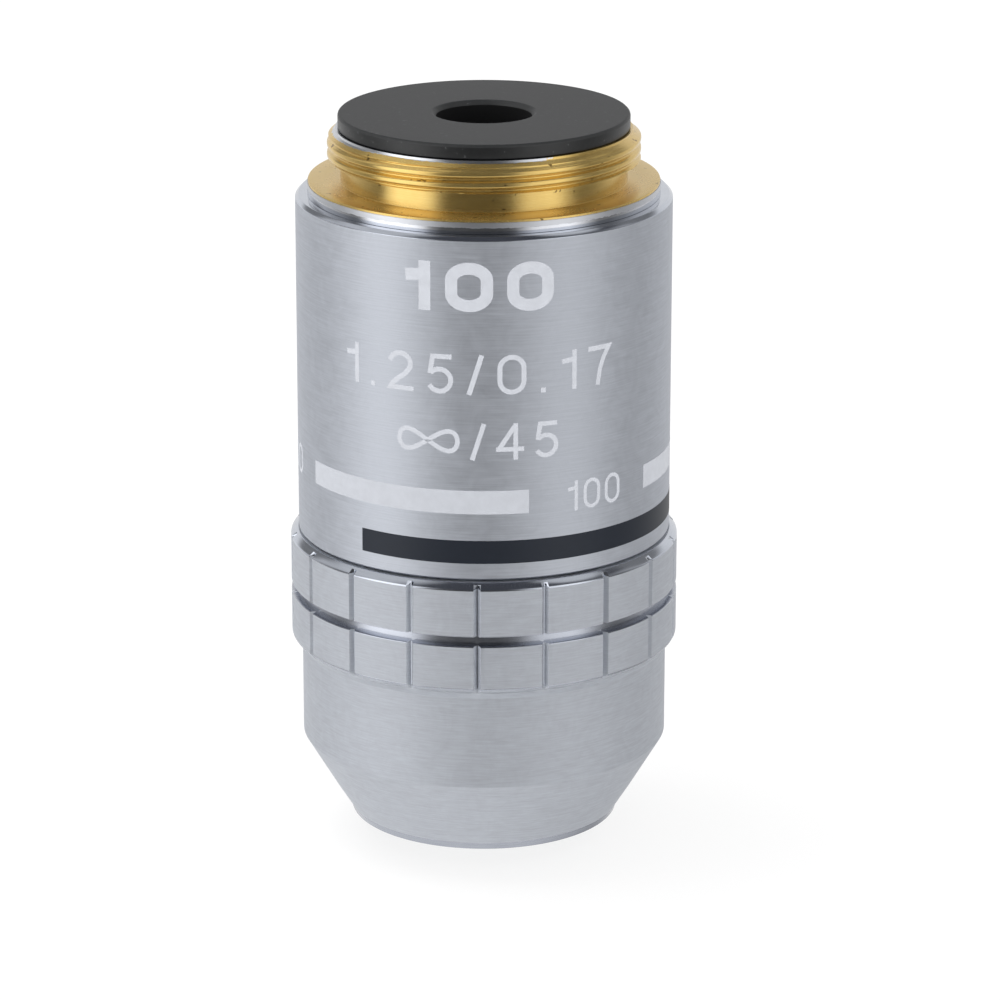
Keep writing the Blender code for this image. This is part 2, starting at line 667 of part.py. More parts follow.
def lens_stack(glasses, brass, black, group, cutters):
    """Everything in the bore of the carrier, from its ledge up; gives back its top too."""
    crown, flint = glasses
    first, top = doublet(
        "first_doublet", FIRST_DOUBLET_WALL, FIRST_CEMENT_SAG, FIRST_CROWN_SAG,
        LEDGE_Z + SEAT_GAP, crown, flint, brass, group,
    )
    spacer, top = stack_spacer("spacer_1", top, FIRST_SPACER_LENGTH, brass, group)
    second, top = doublet(
        "second_doublet", SECOND_DOUBLET_WALL, SECOND_CEMENT_SAG, SECOND_CROWN_SAG,
        top + SEAT_GAP, crown, flint, brass, group,
    )
    middle, top = stack_spacer("spacer_2", top, SECOND_SPACER_LENGTH, brass, group)
    lower, top = rear_meniscus("lower_meniscus", top + SEAT_GAP, True, flint, brass, group)
    upper_spacer, top = stack_spacer("spacer_3", top, THIRD_SPACER_LENGTH, brass, group)
    upper, top = rear_meniscus("upper_meniscus", top + SEAT_GAP, False, flint, brass, group)

    stop_low = top + SEAT_GAP
    stop_high = stop_low + APERTURE_HEIGHT
    stop = turned(
        "aperture_stop", ring(APERTURE_R, CELL_R, stop_low, stop_high), black, group, LENS_STEPS
    )
    ring_low = stop_high + SEAT_GAP
    ring_high = ring_low + LOCK_RING_HEIGHT
    lock = turned(
        "stack_lock_ring", ring(CELL_R - LOCK_RING_WALL, CELL_R, ring_low, ring_high),
        brass, group, LENS_STEPS,
    )
    cut(lock, spanner_slot("stack_ring_slot", cutters, ring_high))
    pieces = [*first, spacer, *second, middle, *lower, upper_spacer, *upper, stop, lock]
    return pieces, ring_high


def stack_spacer(name, below, length, brass, group):
    """Plain ring between two cells; gives back the ring and the height of its top."""
    low = below + SEAT_GAP
    high = low + length
    profile = ring(CELL_R - SPACER_WALL, CELL_R, low, high)
    return turned(name, profile, brass, group, LENS_STEPS), high


def coil_spring(steel, group, low, high):
    """Compression spring with closed ends, as many turns as fit between low and high."""
    start = low + SEAT_GAP + WIRE_R
    end = high - SEAT_GAP - WIRE_R
    end_rise = END_TURNS * END_PITCH
    active_turns = (end - start - 2.0 * end_rise) / SPRING_PITCH
    turns = active_turns + 2.0 * END_TURNS
    count = int(round(turns * WIRE_POINTS))
    curve = bpy.data.curves.new("spring", "CURVE")
    curve.dimensions = "3D"
    curve.bevel_depth = WIRE_R
    curve.bevel_resolution = 2
    curve.use_fill_caps = True
    curve.materials.append(steel)
    wire = curve.splines.new("POLY")
    wire.points.add(count)
    for number, point in enumerate(wire.points):
        turn = turns * number / count
        from_end = min(turn, turns - turn)
        if from_end < END_TURNS:
            rise = from_end * END_PITCH
            height = start + rise if turn < turns / 2.0 else end - rise
        else:
            height = start + end_rise + (turn - END_TURNS) * SPRING_PITCH
        angle = 2.0 * math.pi * turn
        point.co = (SPRING_R * math.cos(angle), SPRING_R * math.sin(angle), height, 1.0)
    spring = bpy.data.objects.new("spring", curve)
    group.objects.link(spring)
    return spring


def smooth(piece):
    """Apply the modifiers and shade round sides smooth, with edges over 25 degrees sharp."""
    if piece.type != "MESH":
        return
    evaluated = piece.evaluated_get(bpy.context.evaluated_depsgraph_get())
    mesh = bpy.data.meshes.new_from_object(evaluated)
    piece.modifiers.clear()
    piece.data = mesh
    mesh.name = piece.name
    mesh.shade_smooth()
    mesh.set_sharp_from_angle(angle=math.radians(25.0))


def main():
    """Build the housing, then the lens unit on its slide axis."""
    group, cutters = clear_scene()
    chrome = make_material("satin_chrome", (0.50, 0.51, 0.53), 0.28, 1.0)
    bare_brass = make_material("turned_brass", (0.62, 0.42, 0.14), 0.22, 1.0)
    black_brass = make_material("blackened_brass", (0.03, 0.03, 0.03), 0.5, 0.6)
    steel = make_material("spring_steel", (0.55, 0.55, 0.56), 0.3, 1.0)
    plastic = make_material("black_plastic", (0.06, 0.06, 0.065), 0.55, 0.0)
    crown = make_material("crown_glass", (0.95, 0.97, 1.0), 0.02, 0.0, 1.0)
    flint = make_material("flint_glass", (0.97, 0.96, 0.9), 0.02, 0.0, 1.0)

    stack, stack_top = lens_stack((crown, flint), black_brass, black_brass, group, cutters)
    carrier_top = stack_top + CARRIER_TOP_RIM
    carrier = lens_carrier(bare_brass, group, cutters, carrier_top)
    nose = nose_cell(chrome, group)
    front = front_group(crown, black_brass, group)

    housing = [
        front_sleeve(chrome, group, cutters),
        outer_barrel(chrome, group),
        thread_mount(bare_brass, group),
        rear_stop(plastic, group),
        body_tube(bare_brass, group, cutters),
        guide_screw(steel, group, cutters),
        *parfocal_rings(bare_brass, group, cutters),
        coil_spring(steel, group, carrier_top, BOSS_Z),
    ]

    slide = bpy.data.objects.new("lens_unit", None)
    slide.empty_display_size = NOSE_R
    group.objects.link(slide)
    lens_unit = [carrier, nose, *front, *stack]
    for piece in lens_unit:
        piece.parent = slide

    bpy.context.view_layer.update()
    for piece in housing + lens_unit:
        smooth(piece)


main()
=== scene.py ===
"""Looks of the microscope objective: satin chrome barrel and grip, brass mount, black rear stop.

Metres, +Z up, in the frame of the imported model, which stands on the flat of its nose.  A turned
piece is a closed wire of (radius, height, edge round) points that a bmesh spins round Z.
Azimuths are in degrees from the side with the figures, -Y, and grow to the right.
"""
import json
import math

import bmesh
import bpy
from mathutils import Matrix, Vector

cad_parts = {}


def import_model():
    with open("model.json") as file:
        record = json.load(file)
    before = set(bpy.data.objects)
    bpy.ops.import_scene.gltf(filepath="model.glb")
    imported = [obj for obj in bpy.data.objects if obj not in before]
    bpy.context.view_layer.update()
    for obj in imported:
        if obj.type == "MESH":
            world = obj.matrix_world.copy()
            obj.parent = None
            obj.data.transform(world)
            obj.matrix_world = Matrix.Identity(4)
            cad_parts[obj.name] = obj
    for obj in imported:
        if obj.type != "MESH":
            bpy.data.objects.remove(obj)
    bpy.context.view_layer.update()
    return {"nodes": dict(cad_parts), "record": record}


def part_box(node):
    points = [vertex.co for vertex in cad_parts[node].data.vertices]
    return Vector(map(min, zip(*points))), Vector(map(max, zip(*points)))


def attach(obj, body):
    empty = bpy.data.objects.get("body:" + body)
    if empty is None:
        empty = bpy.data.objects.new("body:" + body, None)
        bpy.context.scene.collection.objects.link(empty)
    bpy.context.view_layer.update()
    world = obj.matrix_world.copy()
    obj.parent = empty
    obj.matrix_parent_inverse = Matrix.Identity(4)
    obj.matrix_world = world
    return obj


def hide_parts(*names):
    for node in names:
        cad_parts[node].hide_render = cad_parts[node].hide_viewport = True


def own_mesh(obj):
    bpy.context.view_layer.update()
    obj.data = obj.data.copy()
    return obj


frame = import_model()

MM = 0.001
ORIGIN = (0.0, 0.0, 0.0)
UP = (0.0, 0.0, 1.0)
MERGE = 0.001 * MM
NEAR = 5.0 * MERGE                  # as good as the same place
TURN_STEPS = 256                    # facets of a turned piece, too fine to be seen
ROUND_STEPS = 3                     # facets in the round of a turned edge
SHARP = math.radians(38.0)          # edges steeper than this stay sharp to the eye
THREAD_SHARP = math.radians(50.0)   # the thread's flanks are round, so theirs don't
ALMOST_LEVEL = math.radians(5.0)    # between two facets of one round face
CLEAR = 0.01 * MM                   # margin when faces are picked by their place

# How far a turned edge is rounded off.
HAIR_ROUND = 0.02 * MM
FINE_ROUND = 0.03 * MM
BROKEN_ROUND = 0.04 * MM
SOFT_ROUND = 0.05 * MM
HOLE_ROUND = 0.08 * MM
WIDE_ROUND = 0.1 * MM

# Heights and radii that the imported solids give.
SLEEVE_LOW, SLEEVE_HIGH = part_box("front_sleeve")
BARREL_LOW, BARREL_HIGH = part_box("outer_barrel")
MOUNT_LOW, MOUNT_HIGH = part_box("thread_mount")
STOP_LOW, STOP_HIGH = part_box("rear_stop")
NOSE_LOW, NOSE_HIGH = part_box("nose_cell")
LENS_LOW, LENS_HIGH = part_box("front_lens")
SPRING_LOW, SPRING_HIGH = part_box("spring")
KNURL_R = SLEEVE_HIGH.x
BARREL_R = BARREL_HIGH.x
TUBE_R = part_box("body_tube")[1].x
FLANGE_R = MOUNT_HIGH.x
STOP_R = STOP_HIGH.x
NOSE_R = NOSE_HIGH.x

# Sleeve, from its rim up.
RIM_R = 8.85 * MM
RIM_EDGE_R = 8.98 * MM
CONE_FOOT_R = 10.05 * MM
RIM_EDGE_Z = SLEEVE_LOW.z + 0.45 * MM
CONE_FOOT_Z = RIM_EDGE_Z + 1.69 * MM
CONE_TOP_Z = CONE_FOOT_Z + 3.41 * MM
KNURL_RISE = 0.69 * MM
PLAIN_BAND_R = KNURL_R - KNURL_RISE
PLAIN_TOP_Z = CONE_TOP_Z + 6.18 * MM
LOWER_ROW_Z = PLAIN_TOP_Z + 0.79 * MM
ROW_GROOVE_Z = LOWER_ROW_Z + 2.94 * MM
UPPER_ROW_Z = ROW_GROOVE_Z + 0.63 * MM
KNURL_TOP_Z = SLEEVE_HIGH.z - 0.38 * MM
KNURL_TOP_IN = 0.47 * MM
SLEEVE_BORE_R = TUBE_R + 0.08 * MM
SLEEVE_SEAT_Z = 9.8 * MM
CONE_WALL = 2.3 * MM
LIP_R = NOSE_R + 0.3 * MM
LIP_Z = SLEEVE_LOW.z + 1.3 * MM

# Grip: eighteen blocks in each of two rows.
GRIP_BLOCKS = 18
GRIP_TURN = -2.0                    # azimuth of the groove that faces the front
GRIP_TOP_WIDTH = 0.46 * MM
GRIP_FLOOR_WIDTH = 0.06 * MM
GRIP_FLOOR_R = KNURL_R - 0.32 * MM
ROW_FLOOR_R = KNURL_R - 0.42 * MM
BLOCK_STEPS = 12
BLOCK_BEVEL = 0.07 * MM
BLOCK_BEVEL_STEPS = 2
GRIP_OUTSIDE_R = ROW_FLOOR_R - 0.1 * MM     # what lies inside these two is bore, not grip
TOP_OUTSIDE_R = ROW_FLOOR_R - 0.5 * MM
GRIP_SECTOR = math.tau / GRIP_BLOCKS
GRIP_TOP_ARC = GRIP_TOP_WIDTH / KNURL_R
GRIP_FLOOR_ARC = GRIP_FLOOR_WIDTH / GRIP_FLOOR_R
FOOT_LINE = 0.35                    # fine line cut in the foot bevel, as a share of its height
FOOT_LINE_DEPTH = 0.05 * MM
FOOT_LINE_WIDTH = 0.09 * MM

# Barrel.
BARREL_BORE_R = BARREL_R - 1.29 * MM
BARREL_TOP_EDGE = 0.24 * MM
BARREL_FOOT_EDGE = 0.12 * MM

# Mount: a thread of 36 turns an inch over a relief, a brass edge and a plated flange.
THREAD_R = 10.15 * MM
THREAD_PITCH = 25.4 / 36.0 * MM
THREAD_DEPTH = 0.38 * THREAD_PITCH  # the real 0.64 showed lines that were too heavy
THREAD_ROW = 0.04 * MM
NECK_R = THREAD_R - 0.85 * MM
FLANGE_Z = BARREL_HIGH.z + 0.01 * MM
SHOULDER_Z = BARREL_HIGH.z + 0.9 * MM
SHOULDER_DISH = 0.05 * MM
SHOULDER_SEAT_R = THREAD_R + 0.15 * MM
EDGE_HEIGHT = 0.15 * MM
EDGE_IN = 0.05 * MM                 # the shoulder's brass edge stands back from the flange
NECK_TOP_Z = SHOULDER_Z + 1.15 * MM
NECK_RUNOUT = 0.25 * MM
THREAD_END_IN = 0.55 * MM
THREAD_END_HEIGHT = 0.38 * MM
CROWN_LAND = 0.16 * MM              # upright edge between the thread's bevel and the plug
BOSS_R = 8.89 * MM
MOUNT_BORE_R = 7.54 * MM

# The mount's plating: satin and polished on the flange, and bright on the left of the crown.
PLATING_SPOT = 0.35 * MM            # size of the ragged bits along its edges
SATIN_Z = FLANGE_Z + 0.52 * MM
SATIN_WAVE = 0.25 * MM
CROWN_PLATE_Z = MOUNT_HIGH.z + 0.08 * MM - CROWN_LAND
CROWN_PLATE_WAVE = 0.2 * MM
CROWN_LEAN_X = 6.5 * MM             # farther left than this it comes lower down the crown
CROWN_LEAN = 0.035
CROWN_SIDE_X = 5.5 * MM             # its end on the right, less the wave
CROWN_SIDE_WAVE = 3.0 * MM
NICK_SPOT = 0.5 * MM                # size of the dark nicks in the brass

# Rear stop.
STOP_RIM_HEIGHT = 0.92 * MM
STOP_PLUG_R = 7.46 * MM
STOP_HOLE_R = 3.1 * MM
STOP_HOLE_BEVEL = 0.27 * MM
STOP_ROUND = 0.18 * MM              # its upper edge, rounder than the others

# Nose and front glass.
NOSE_FLAT_R = 4.0 * MM
NOSE_CONE_HEIGHT = 1.3 * MM
SPIGOT_R = 5.57 * MM
SPIGOT_LOW_Z = 4.75 * MM
CHAMBER_R = 4.52 * MM
NOSE_FLOOR_Z = 1.95 * MM
BEZEL_GAP = 0.1 * MM
BEZEL_KNEE_R = 1.323 * MM           # where the seat follows the ball of the glass
BEZEL_KNEE_Z = 0.451 * MM
BALL_SEAT_Z = 0.902 * MM
GLASS_FACE_R = 0.98 * MM
GLASS_TURN_STEPS = 96
GLASS_ARC_STEPS = 24

# Spring wire and its closed ends.
WIRE_R = 0.45 * MM
SPRING_R = SPRING_HIGH.x - WIRE_R
SPRING_PITCH = 1.9 * MM
END_TURNS = 0.75
END_PITCH = 0.97 * MM
WIRE_FACETS = 20
WIRE_STEPS_A_TURN = 48

# Painted marks, laid on the barrel.
PAINT_PROUD = 0.008 * MM
PAINT_SUNK = 0.03 * MM
STROKE_STEP = 0.001 * MM            # crossing strokes differ this much in height
STRIP = 0.3 * MM                    # facets of a figure where it bends round the barrel
OVAL_STEPS = 14
LOOP_STEPS = 48
FIGURE_GAP = 0.22                   # between figures, as a share of their height
WHITE_BAND_Z = 25.70 * MM
WHITE_BAND_HEIGHT = 1.56 * MM
WHITE_BAND_START = -63.0
WHITE_BAND_ARC = 76.5
WHITE_BANDS = 3
BAND_FIGURE_Z = 25.5 * MM           # figures between the white bands
BAND_FIGURE_HEIGHT = 2.0 * MM
BAND_FIGURE_STROKE = 0.24 * MM
BLACK_BAND_Z = 22.39 * MM
BLACK_BAND_HEIGHT = 1.53 * MM
BLACK_BAND_START = -39.6
BLACK_BAND_ARC = 303.0

# Figures on the front: name, text, azimuth, height of their feet, height, stroke, stretch, gap.
FRONT_FIGURES = (
    ("power_figures", "100", -2.3, 39.0 * MM, 3.2 * MM, 0.78 * MM, 1.55, 0.36),
    ("aperture_figures", "1.25/0.17", -2.5, 33.6 * MM, 2.6 * MM, 0.32 * MM, 1.12, 0.36),
    ("focus_figures", "\u221e/45", -2.0, 29.3 * MM, 2.4 * MM, 0.3 * MM, 1.12, 0.3))

# Turning marks: where their noise starts, on the mount and elsewhere, and the levels of it
# between which a metal's colour and its roughness turn.
METAL_SEED = 3.1
MOUNT_SEED = 5.2
COLOUR_TURNS = (0.35, 0.65)
ROUGH_TURNS = (0.3, 0.7)

BRASS_LIGHT = "#dec17a"
BRASS_DARK = "#d2b166"
BRASS_NICKED = "#7d6433"
PLATING = "#d3d5da"

# Camera: where the photograph was taken from.
CAMERA_DISTANCE = 307.7 * MM
CAMERA_ELEVATION = 17.61
CAMERA_TARGET_Z = 23.5 * MM
CAMERA_LENS = 167.58
CAMERA_SENSOR = 36.0
CAMERA_SHIFT_X = 0.0160
CAMERA_SHIFT_Y = -0.0108
CAMERA_CLIP = 10.0 * MM

# Studio as polished metal sees it: (azimuth, level) of the light all round.
ROUND_LEVELS = (
    # backdrop
    (-180.0, 0.44), (-168.0, 0.42), (-146.0, 0.48), (-120.0, 0.30), (-104.0, 0.19),
    # dark gap and left box
    (-96.0, 0.115), (-89.0, 0.11),
    (-84.0, 0.4), (-80.0, 0.7), (-72.0, 0.93), (-50.0, 0.85), (-42.0, 0.62),
    # dark room in front
    (-35.0, 0.17), (-28.0, 0.05), (0.0, 0.032), (12.0, 0.036), (20.0, 0.07),
    # right box and dark gap
    (27.0, 0.3), (34.0, 0.54), (48.0, 0.65), (58.0, 0.70), (65.0, 0.5),
    (73.0, 0.24), (80.0, 0.10), (90.0, 0.095),
    # backdrop
    (104.0, 0.18), (120.0, 0.34), (146.0, 0.45), (168.0, 0.42), (180.0, 0.44))
# The pale table below, a little darker at the back right.
UNDER_LEVELS = (
    (-180.0, 0.46), (-60.0, 0.46), (60.0, 0.44), (100.0, 0.34), (130.0, 0.25), (155.0, 0.25),
    (170.0, 0.42), (180.0, 0.46))
# Two small boxes and two dark panels higher up: azimuth, elevation, spread and level.
HIGH_PATCHES = (
    (-113.0, 56.0, 20.0, 0.36), (104.0, 63.0, 11.0, 0.36),
    (-142.0, 26.0, 12.0, 0.12), (133.0, 36.0, 14.0, 0.12))
PATCH_EDGE = (1.25, 0.75)           # a patch fades between these shares of its spread
ROOM_OVERHEAD = (0.034, 0.035, 0.04, 1.0)
# Sines of the elevations between which one part of the studio gives way to the next.
TABLE_SINES = (-0.60, -0.38)
OVERHEAD_SINES = (0.62, 0.90)
BACK_SINES = (0.71, 0.80)
BACK_LEAN = 0.35                    # the backdrop behind ends lower than the boxes in front
MIRROR_STRENGTH = 2.0               # of the studio, as metal sees it
LIGHT_STRENGTH = 0.92               # of the plain white that lights everything else

# Lamp that leaves the shadow.
LAMP_AZIMUTH = -100.0
LAMP_ELEVATION = 70.0
LAMP_DISTANCE = 0.8
LAMP_SIZE = 0.45
LAMP_WATTS = 3.6

FLOOR_HALF = 3.0
FLOOR_SHADE = 0.16                  # share of its own shading that the camera sees on the floor


def grey(level):
    return (level, level, level, 1.0)


def linear(colour):
    """Linear RGBA of an sRGB hex colour."""
    shares = [int(colour[place:place + 2], 16) / 255.0 for place in (1, 3, 5)]
    return (*[s / 12.92 if s <= 0.04045 else ((s + 0.055) / 1.055) ** 2.4 for s in shares], 1.0)


def feed(tree, node, inputs):
    """Set a node's inputs to values, or link them from sockets or from nodes' first outputs."""
    for name, value in inputs.items():
        if isinstance(value, bpy.types.Node):
            value = value.outputs[0]
        if isinstance(value, bpy.types.NodeSocket):
            tree.links.new(value, node.inputs[name])
        else:
            node.inputs[name].default_value = value


def add(tree, kind, inputs=None, **settings):
    """Add a node with its inputs and settings."""
    node = tree.nodes.new("ShaderNode" + kind)
    for name, value in settings.items():
        setattr(node, name, value)
    feed(tree, node, inputs or {})
    return node


def set_stops(node, stops):
    """Give a Color Ramp its (place, colour) stops."""
    elements = node.color_ramp.elements
    while len(elements) > 1:
        elements.remove(elements[-1])
    elements[0].position, elements[0].color = stops[0]
    for place, colour in stops[1:]:
        elements.new(place).color = colour


def toward(azimuth, elevation):
    """Direction of an azimuth and an elevation in degrees."""
    turn_to, rise = math.radians(azimuth), math.radians(elevation)
    return Vector((math.sin(turn_to) * math.cos(rise), -math.cos(turn_to) * math.cos(rise),
                   math.sin(rise)))


def new_object(name, data):
    item = bpy.data.objects.new(name, data)
    bpy.context.scene.collection.objects.link(item)
    return item


def stand_off(item, direction, distance):
    """Put a camera or a lamp off the middle of the object, looking back at it."""
    item.location = Vector((0.0, 0.0, CAMERA_TARGET_Z)) + distance * direction
    item.rotation_euler = direction.to_track_quat("Z", "Y").to_euler()


def new_material(name):
    """Material with its shader; gives back the material, its node tree and the shader."""
    material = bpy.data.materials.new(name)
    material.use_nodes = True
    tree = material.node_tree
    return material, tree, tree.nodes["Principled BSDF"]


def turning_marks(tree, across, along, seed):
    """Streaks that run round the piece, a few mm long and fine along Z, over a broad cloud."""
    streak_share, cloud_size = 0.65, 2.2 * MM
    place = add(tree, "TexCoord")
    scale = add(tree, "Mapping", {
        "Vector": place.outputs["Object"],
        "Location": (seed, seed, seed),
        "Scale": (1.0 / across, 1.0 / across, 1.0 / along)})
    streaks = add(tree, "TexNoise", {
        "Vector": scale, "Scale": 1.0, "Detail": 4.0, "Roughness": 0.6})
    cloud = add(tree, "TexNoise", {
        "Vector": place.outputs["Object"], "Scale": 1.0 / cloud_size, "Detail": 5.0,
        "Roughness": 0.65, "Distortion": 2.5})
    clouded = add(tree, "Math", {0: cloud, 1: 1.0 - streak_share}, operation="MULTIPLY")
    return add(tree, "Math", {0: streaks, 1: streak_share, 2: clouded}, operation="MULTIPLY_ADD")


def metal_piece(name, light, dark, roughness, spread, across, along, bump, anisotropy):
    """Turned metal: streaks between two colours, their roughness and their bump."""
    material, tree, shader = new_material(name)
    marks = turning_marks(tree, across, along, METAL_SEED)
    colour = add(tree, "ValToRGB", {"Fac": marks})
    set_stops(colour, [*zip(COLOUR_TURNS, (linear(dark), linear(light)))])
    rough = add(tree, "MapRange", {
        "Value": marks, "From Min": ROUGH_TURNS[0], "From Max": ROUGH_TURNS[1],
        "To Min": roughness - spread, "To Max": roughness + spread})
    relief = add(tree, "Bump", {"Height": marks, "Distance": bump, "Strength": 1.0})
    feed(tree, shader, {
        "Base Color": colour, "Roughness": rough, "Normal": relief, "Metallic": 1.0})
    if anisotropy:
        tangent = add(tree, "Tangent", direction_type="RADIAL", axis="Z")
        feed(tree, shader, {"Anisotropic": anisotropy, "Tangent": tangent})
    return material


def mount_plating(tree, place, axes):
    """Where the mount is plated: on the flange, on its satin part, and anywhere at all."""
    ragged = add(tree, "TexNoise", {
        "Vector": place.outputs["Object"], "Scale": 1.0 / PLATING_SPOT, "Detail": 5.0,
        "Roughness": 0.7})
    wavy_height = add(tree, "Math", {
        0: ragged, 1: SATIN_WAVE, 2: axes.outputs["Z"]}, operation="MULTIPLY_ADD")
    on_flange = add(tree, "Math", {
        0: axes.outputs["Z"], 1: SHOULDER_Z - EDGE_HEIGHT + CLEAR}, operation="LESS_THAN")
    above_foot = add(tree, "Math", {0: wavy_height, 1: SATIN_Z}, operation="GREATER_THAN")
    satin = add(tree, "Math", {0: on_flange, 1: above_foot}, operation="MULTIPLY")
    past_left = add(tree, "Math", {0: axes.outputs["X"], 1: CROWN_LEAN_X}, operation="ADD")
    left_only = add(tree, "Math", {0: past_left, 1: 0.0}, operation="MINIMUM")
    crown_foot = add(tree, "Math", {0: left_only, 1: CROWN_LEAN, 2: CROWN_PLATE_Z},
                     operation="MULTIPLY_ADD")
    wavy_crown = add(tree, "Math", {
        0: ragged, 1: CROWN_PLATE_WAVE, 2: axes.outputs["Z"]},
        operation="MULTIPLY_ADD")
    on_crown = add(tree, "Math", {0: wavy_crown, 1: crown_foot}, operation="GREATER_THAN")
    wavy_side = add(tree, "Math", {
        0: ragged, 1: CROWN_SIDE_WAVE, 2: axes.outputs["X"]},
        operation="MULTIPLY_ADD")
    left_part = add(tree, "Math", {0: wavy_side, 1: CROWN_SIDE_X}, operation="LESS_THAN")
    crown = add(tree, "Math", {0: on_crown, 1: left_part}, operation="MULTIPLY")
    plated = add(tree, "Math", {0: on_flange, 1: crown}, operation="MAXIMUM")
    return on_flange, satin, plated


def mount_colour(tree, marks, place, plated):
    """Brass with dark nicks, under the silver of the plating."""
    whole, nicked_through = 0.70, 0.73
    brass = add(tree, "ValToRGB", {"Fac": marks})
    set_stops(brass, [*zip(COLOUR_TURNS, (linear(BRASS_DARK), linear(BRASS_LIGHT)))])
    specks = add(tree, "TexNoise", {
        "Vector": place.outputs["Object"], "Scale": 1.0 / NICK_SPOT, "Detail": 2.0})
    nicked = add(tree, "MapRange", {
        "Value": specks, "From Min": whole, "From Max": nicked_through})
    worn = add(tree, "Mix", {0: nicked, 6: brass, 7: linear(BRASS_NICKED)}, data_type="RGBA")
    return add(tree, "Mix", {0: plated, 6: worn.outputs[2], 7: linear(PLATING)},
               data_type="RGBA").outputs[2]


def mount_roughness(tree, marks, axes, on_flange, satin):
    """Polished brass, duller on shoulder and crown, with satin and mirror parts on the flange."""
    finest, roughest = 0.14, 0.22
    shoulder_more, satin_more, foot_more, crown_more = 0.1, 0.12, -0.16, 0.06
    rough = add(tree, "MapRange", {
        "Value": marks, "From Min": ROUGH_TURNS[0], "From Max": ROUGH_TURNS[1],
        "To Min": finest, "To Max": roughest})
    to_shoulder = add(tree, "Math", {0: axes.outputs["Z"], 1: SHOULDER_Z + 2.0 * CLEAR},
                      operation="LESS_THAN")
    foot = add(tree, "Math", {0: on_flange, 1: satin}, operation="SUBTRACT")
    on_crown = add(tree, "Math", {
        0: axes.outputs["Z"], 1: MOUNT_HIGH.z - CROWN_LAND - THREAD_END_HEIGHT},
        operation="GREATER_THAN")
    total = rough
    for share, more in ((to_shoulder, shoulder_more), (satin, satin_more), (foot, foot_more),
                        (on_crown, crown_more)):
        total = add(tree, "Math", {0: share, 1: more, 2: total}, operation="MULTIPLY_ADD")
    return total


def mount_metal():
    """Turned brass whose chrome plating is left on the flange and on most of the crown.

    Bare brass is ochre with near white lights; the plating is silver, satin on the upper part
    of the flange and polished at its foot, with a ragged line between the two.  Handled brass
    has a thin dull skin, which is the part that isn't metallic.
    """
    bare_metallic = 0.87
    mark_length, mark_spacing, mark_relief = 4.0 * MM, 0.05 * MM, 0.0015 * MM
    material, tree, shader = new_material("part_plated_brass")
    marks = turning_marks(tree, mark_length, mark_spacing, MOUNT_SEED)
    place = add(tree, "TexCoord")
    axes = add(tree, "SeparateXYZ", {"Vector": place.outputs["Object"]})
    on_flange, satin, plated = mount_plating(tree, place, axes)
    metallic = add(tree, "Math", {0: plated, 1: 1.0 - bare_metallic, 2: bare_metallic},
                   operation="MULTIPLY_ADD")
    relief = add(tree, "Bump", {"Height": marks, "Distance": mark_relief})
    feed(tree, shader, {
        "Metallic": metallic, "Normal": relief,
        "Base Color": mount_colour(tree, marks, place, plated),
        "Roughness": mount_roughness(tree, marks, axes, on_flange, satin)})
    return material


def even_finish(name, colour, roughness):
    """Enamel, or plastic without grain: one colour, a little uneven where it was wiped in."""
    blot_size, dimmest, gloss = 0.6 * MM, 0.93, 0.3
    material, tree, shader = new_material(name)
    place = add(tree, "TexCoord")
    blot = add(tree, "TexNoise", {
        "Vector": place.outputs["Object"], "Scale": 1.0 / blot_size, "Detail": 3.0})
    base = linear(colour)
    tint = add(tree, "ValToRGB", {"Fac": blot})
    dim = (*[dimmest * share for share in base[:3]], 1.0)
    set_stops(tint, [(0.3, dim), (0.7, base)])
    feed(tree, shader, {
        "Base Color": tint, "Roughness": roughness, "Specular IOR Level": gloss})
    return material


def black_plastic(name, light, dark, roughness):
    """Black plastic: dark grey to the eye because its fine grain scatters light, with flecks.

    The real grain is too fine for the render, so it is drawn 0.12 mm wide.
    """
    grain_size, grain_relief = 0.12 * MM, 0.006 * MM
    fleck_size, fleck_colour = 0.35 * MM, "#4a4b4d"
    material, tree, shader = new_material(name)
    place = add(tree, "TexCoord")
    grain = add(tree, "TexNoise", {
        "Vector": place.outputs["Object"], "Scale": 1.0 / grain_size, "Detail": 3.0})
    relief = add(tree, "Bump", {"Height": grain, "Distance": grain_relief})
    flecks = add(tree, "TexNoise", {
        "Vector": place.outputs["Object"], "Scale": 1.0 / fleck_size, "Detail": 3.0})
    tint = add(tree, "ValToRGB", {"Fac": flecks})
    set_stops(tint, [(0.3, linear(dark)), (0.68, linear(light)), (0.74, linear(fleck_colour))])
    feed(tree, shader, {"Base Color": tint, "Roughness": roughness, "Normal": relief})
    return material


def glass(name, colour, ior):
    """Coated optical glass: clear, with a faint purple gloss from its coating."""
    material, tree, shader = new_material(name)
    feed(tree, shader, {
        "Base Color": linear(colour), "Roughness": 0.0, "IOR": ior, "Transmission Weight": 1.0,
        "Specular Tint": linear("#b9a4e8")})
    return material


# Each metal: its name, its two colours, roughness and how far that varies, how long and how
# far apart its turning marks are, their relief and how much they draw a light out along them.
# Real turning marks are some 0.01 mm apart, too fine for the render, so they are drawn 0.05 to
# 0.09 mm apart, and those along the spring's wire 0.3 mm.

# Satin chrome plate over fine turned brass: soft silver grey, with lights drawn out sideways.
SATIN_CHROME = metal_piece(
    "satin_chrome", "#d3d7df", "#c2c6ce", 0.52, 0.06, 2.5 * MM, 0.08 * MM, 0.002 * MM, 0.35)
# The same plate on the turned and milled grip, more matt: light grey that mirrors nothing.
GRIP_CHROME = metal_piece(
    "milled_chrome", "#dce0e6", "#cccfd6", 0.68, 0.05, 1.6 * MM, 0.09 * MM, 0.002 * MM, 0.2)
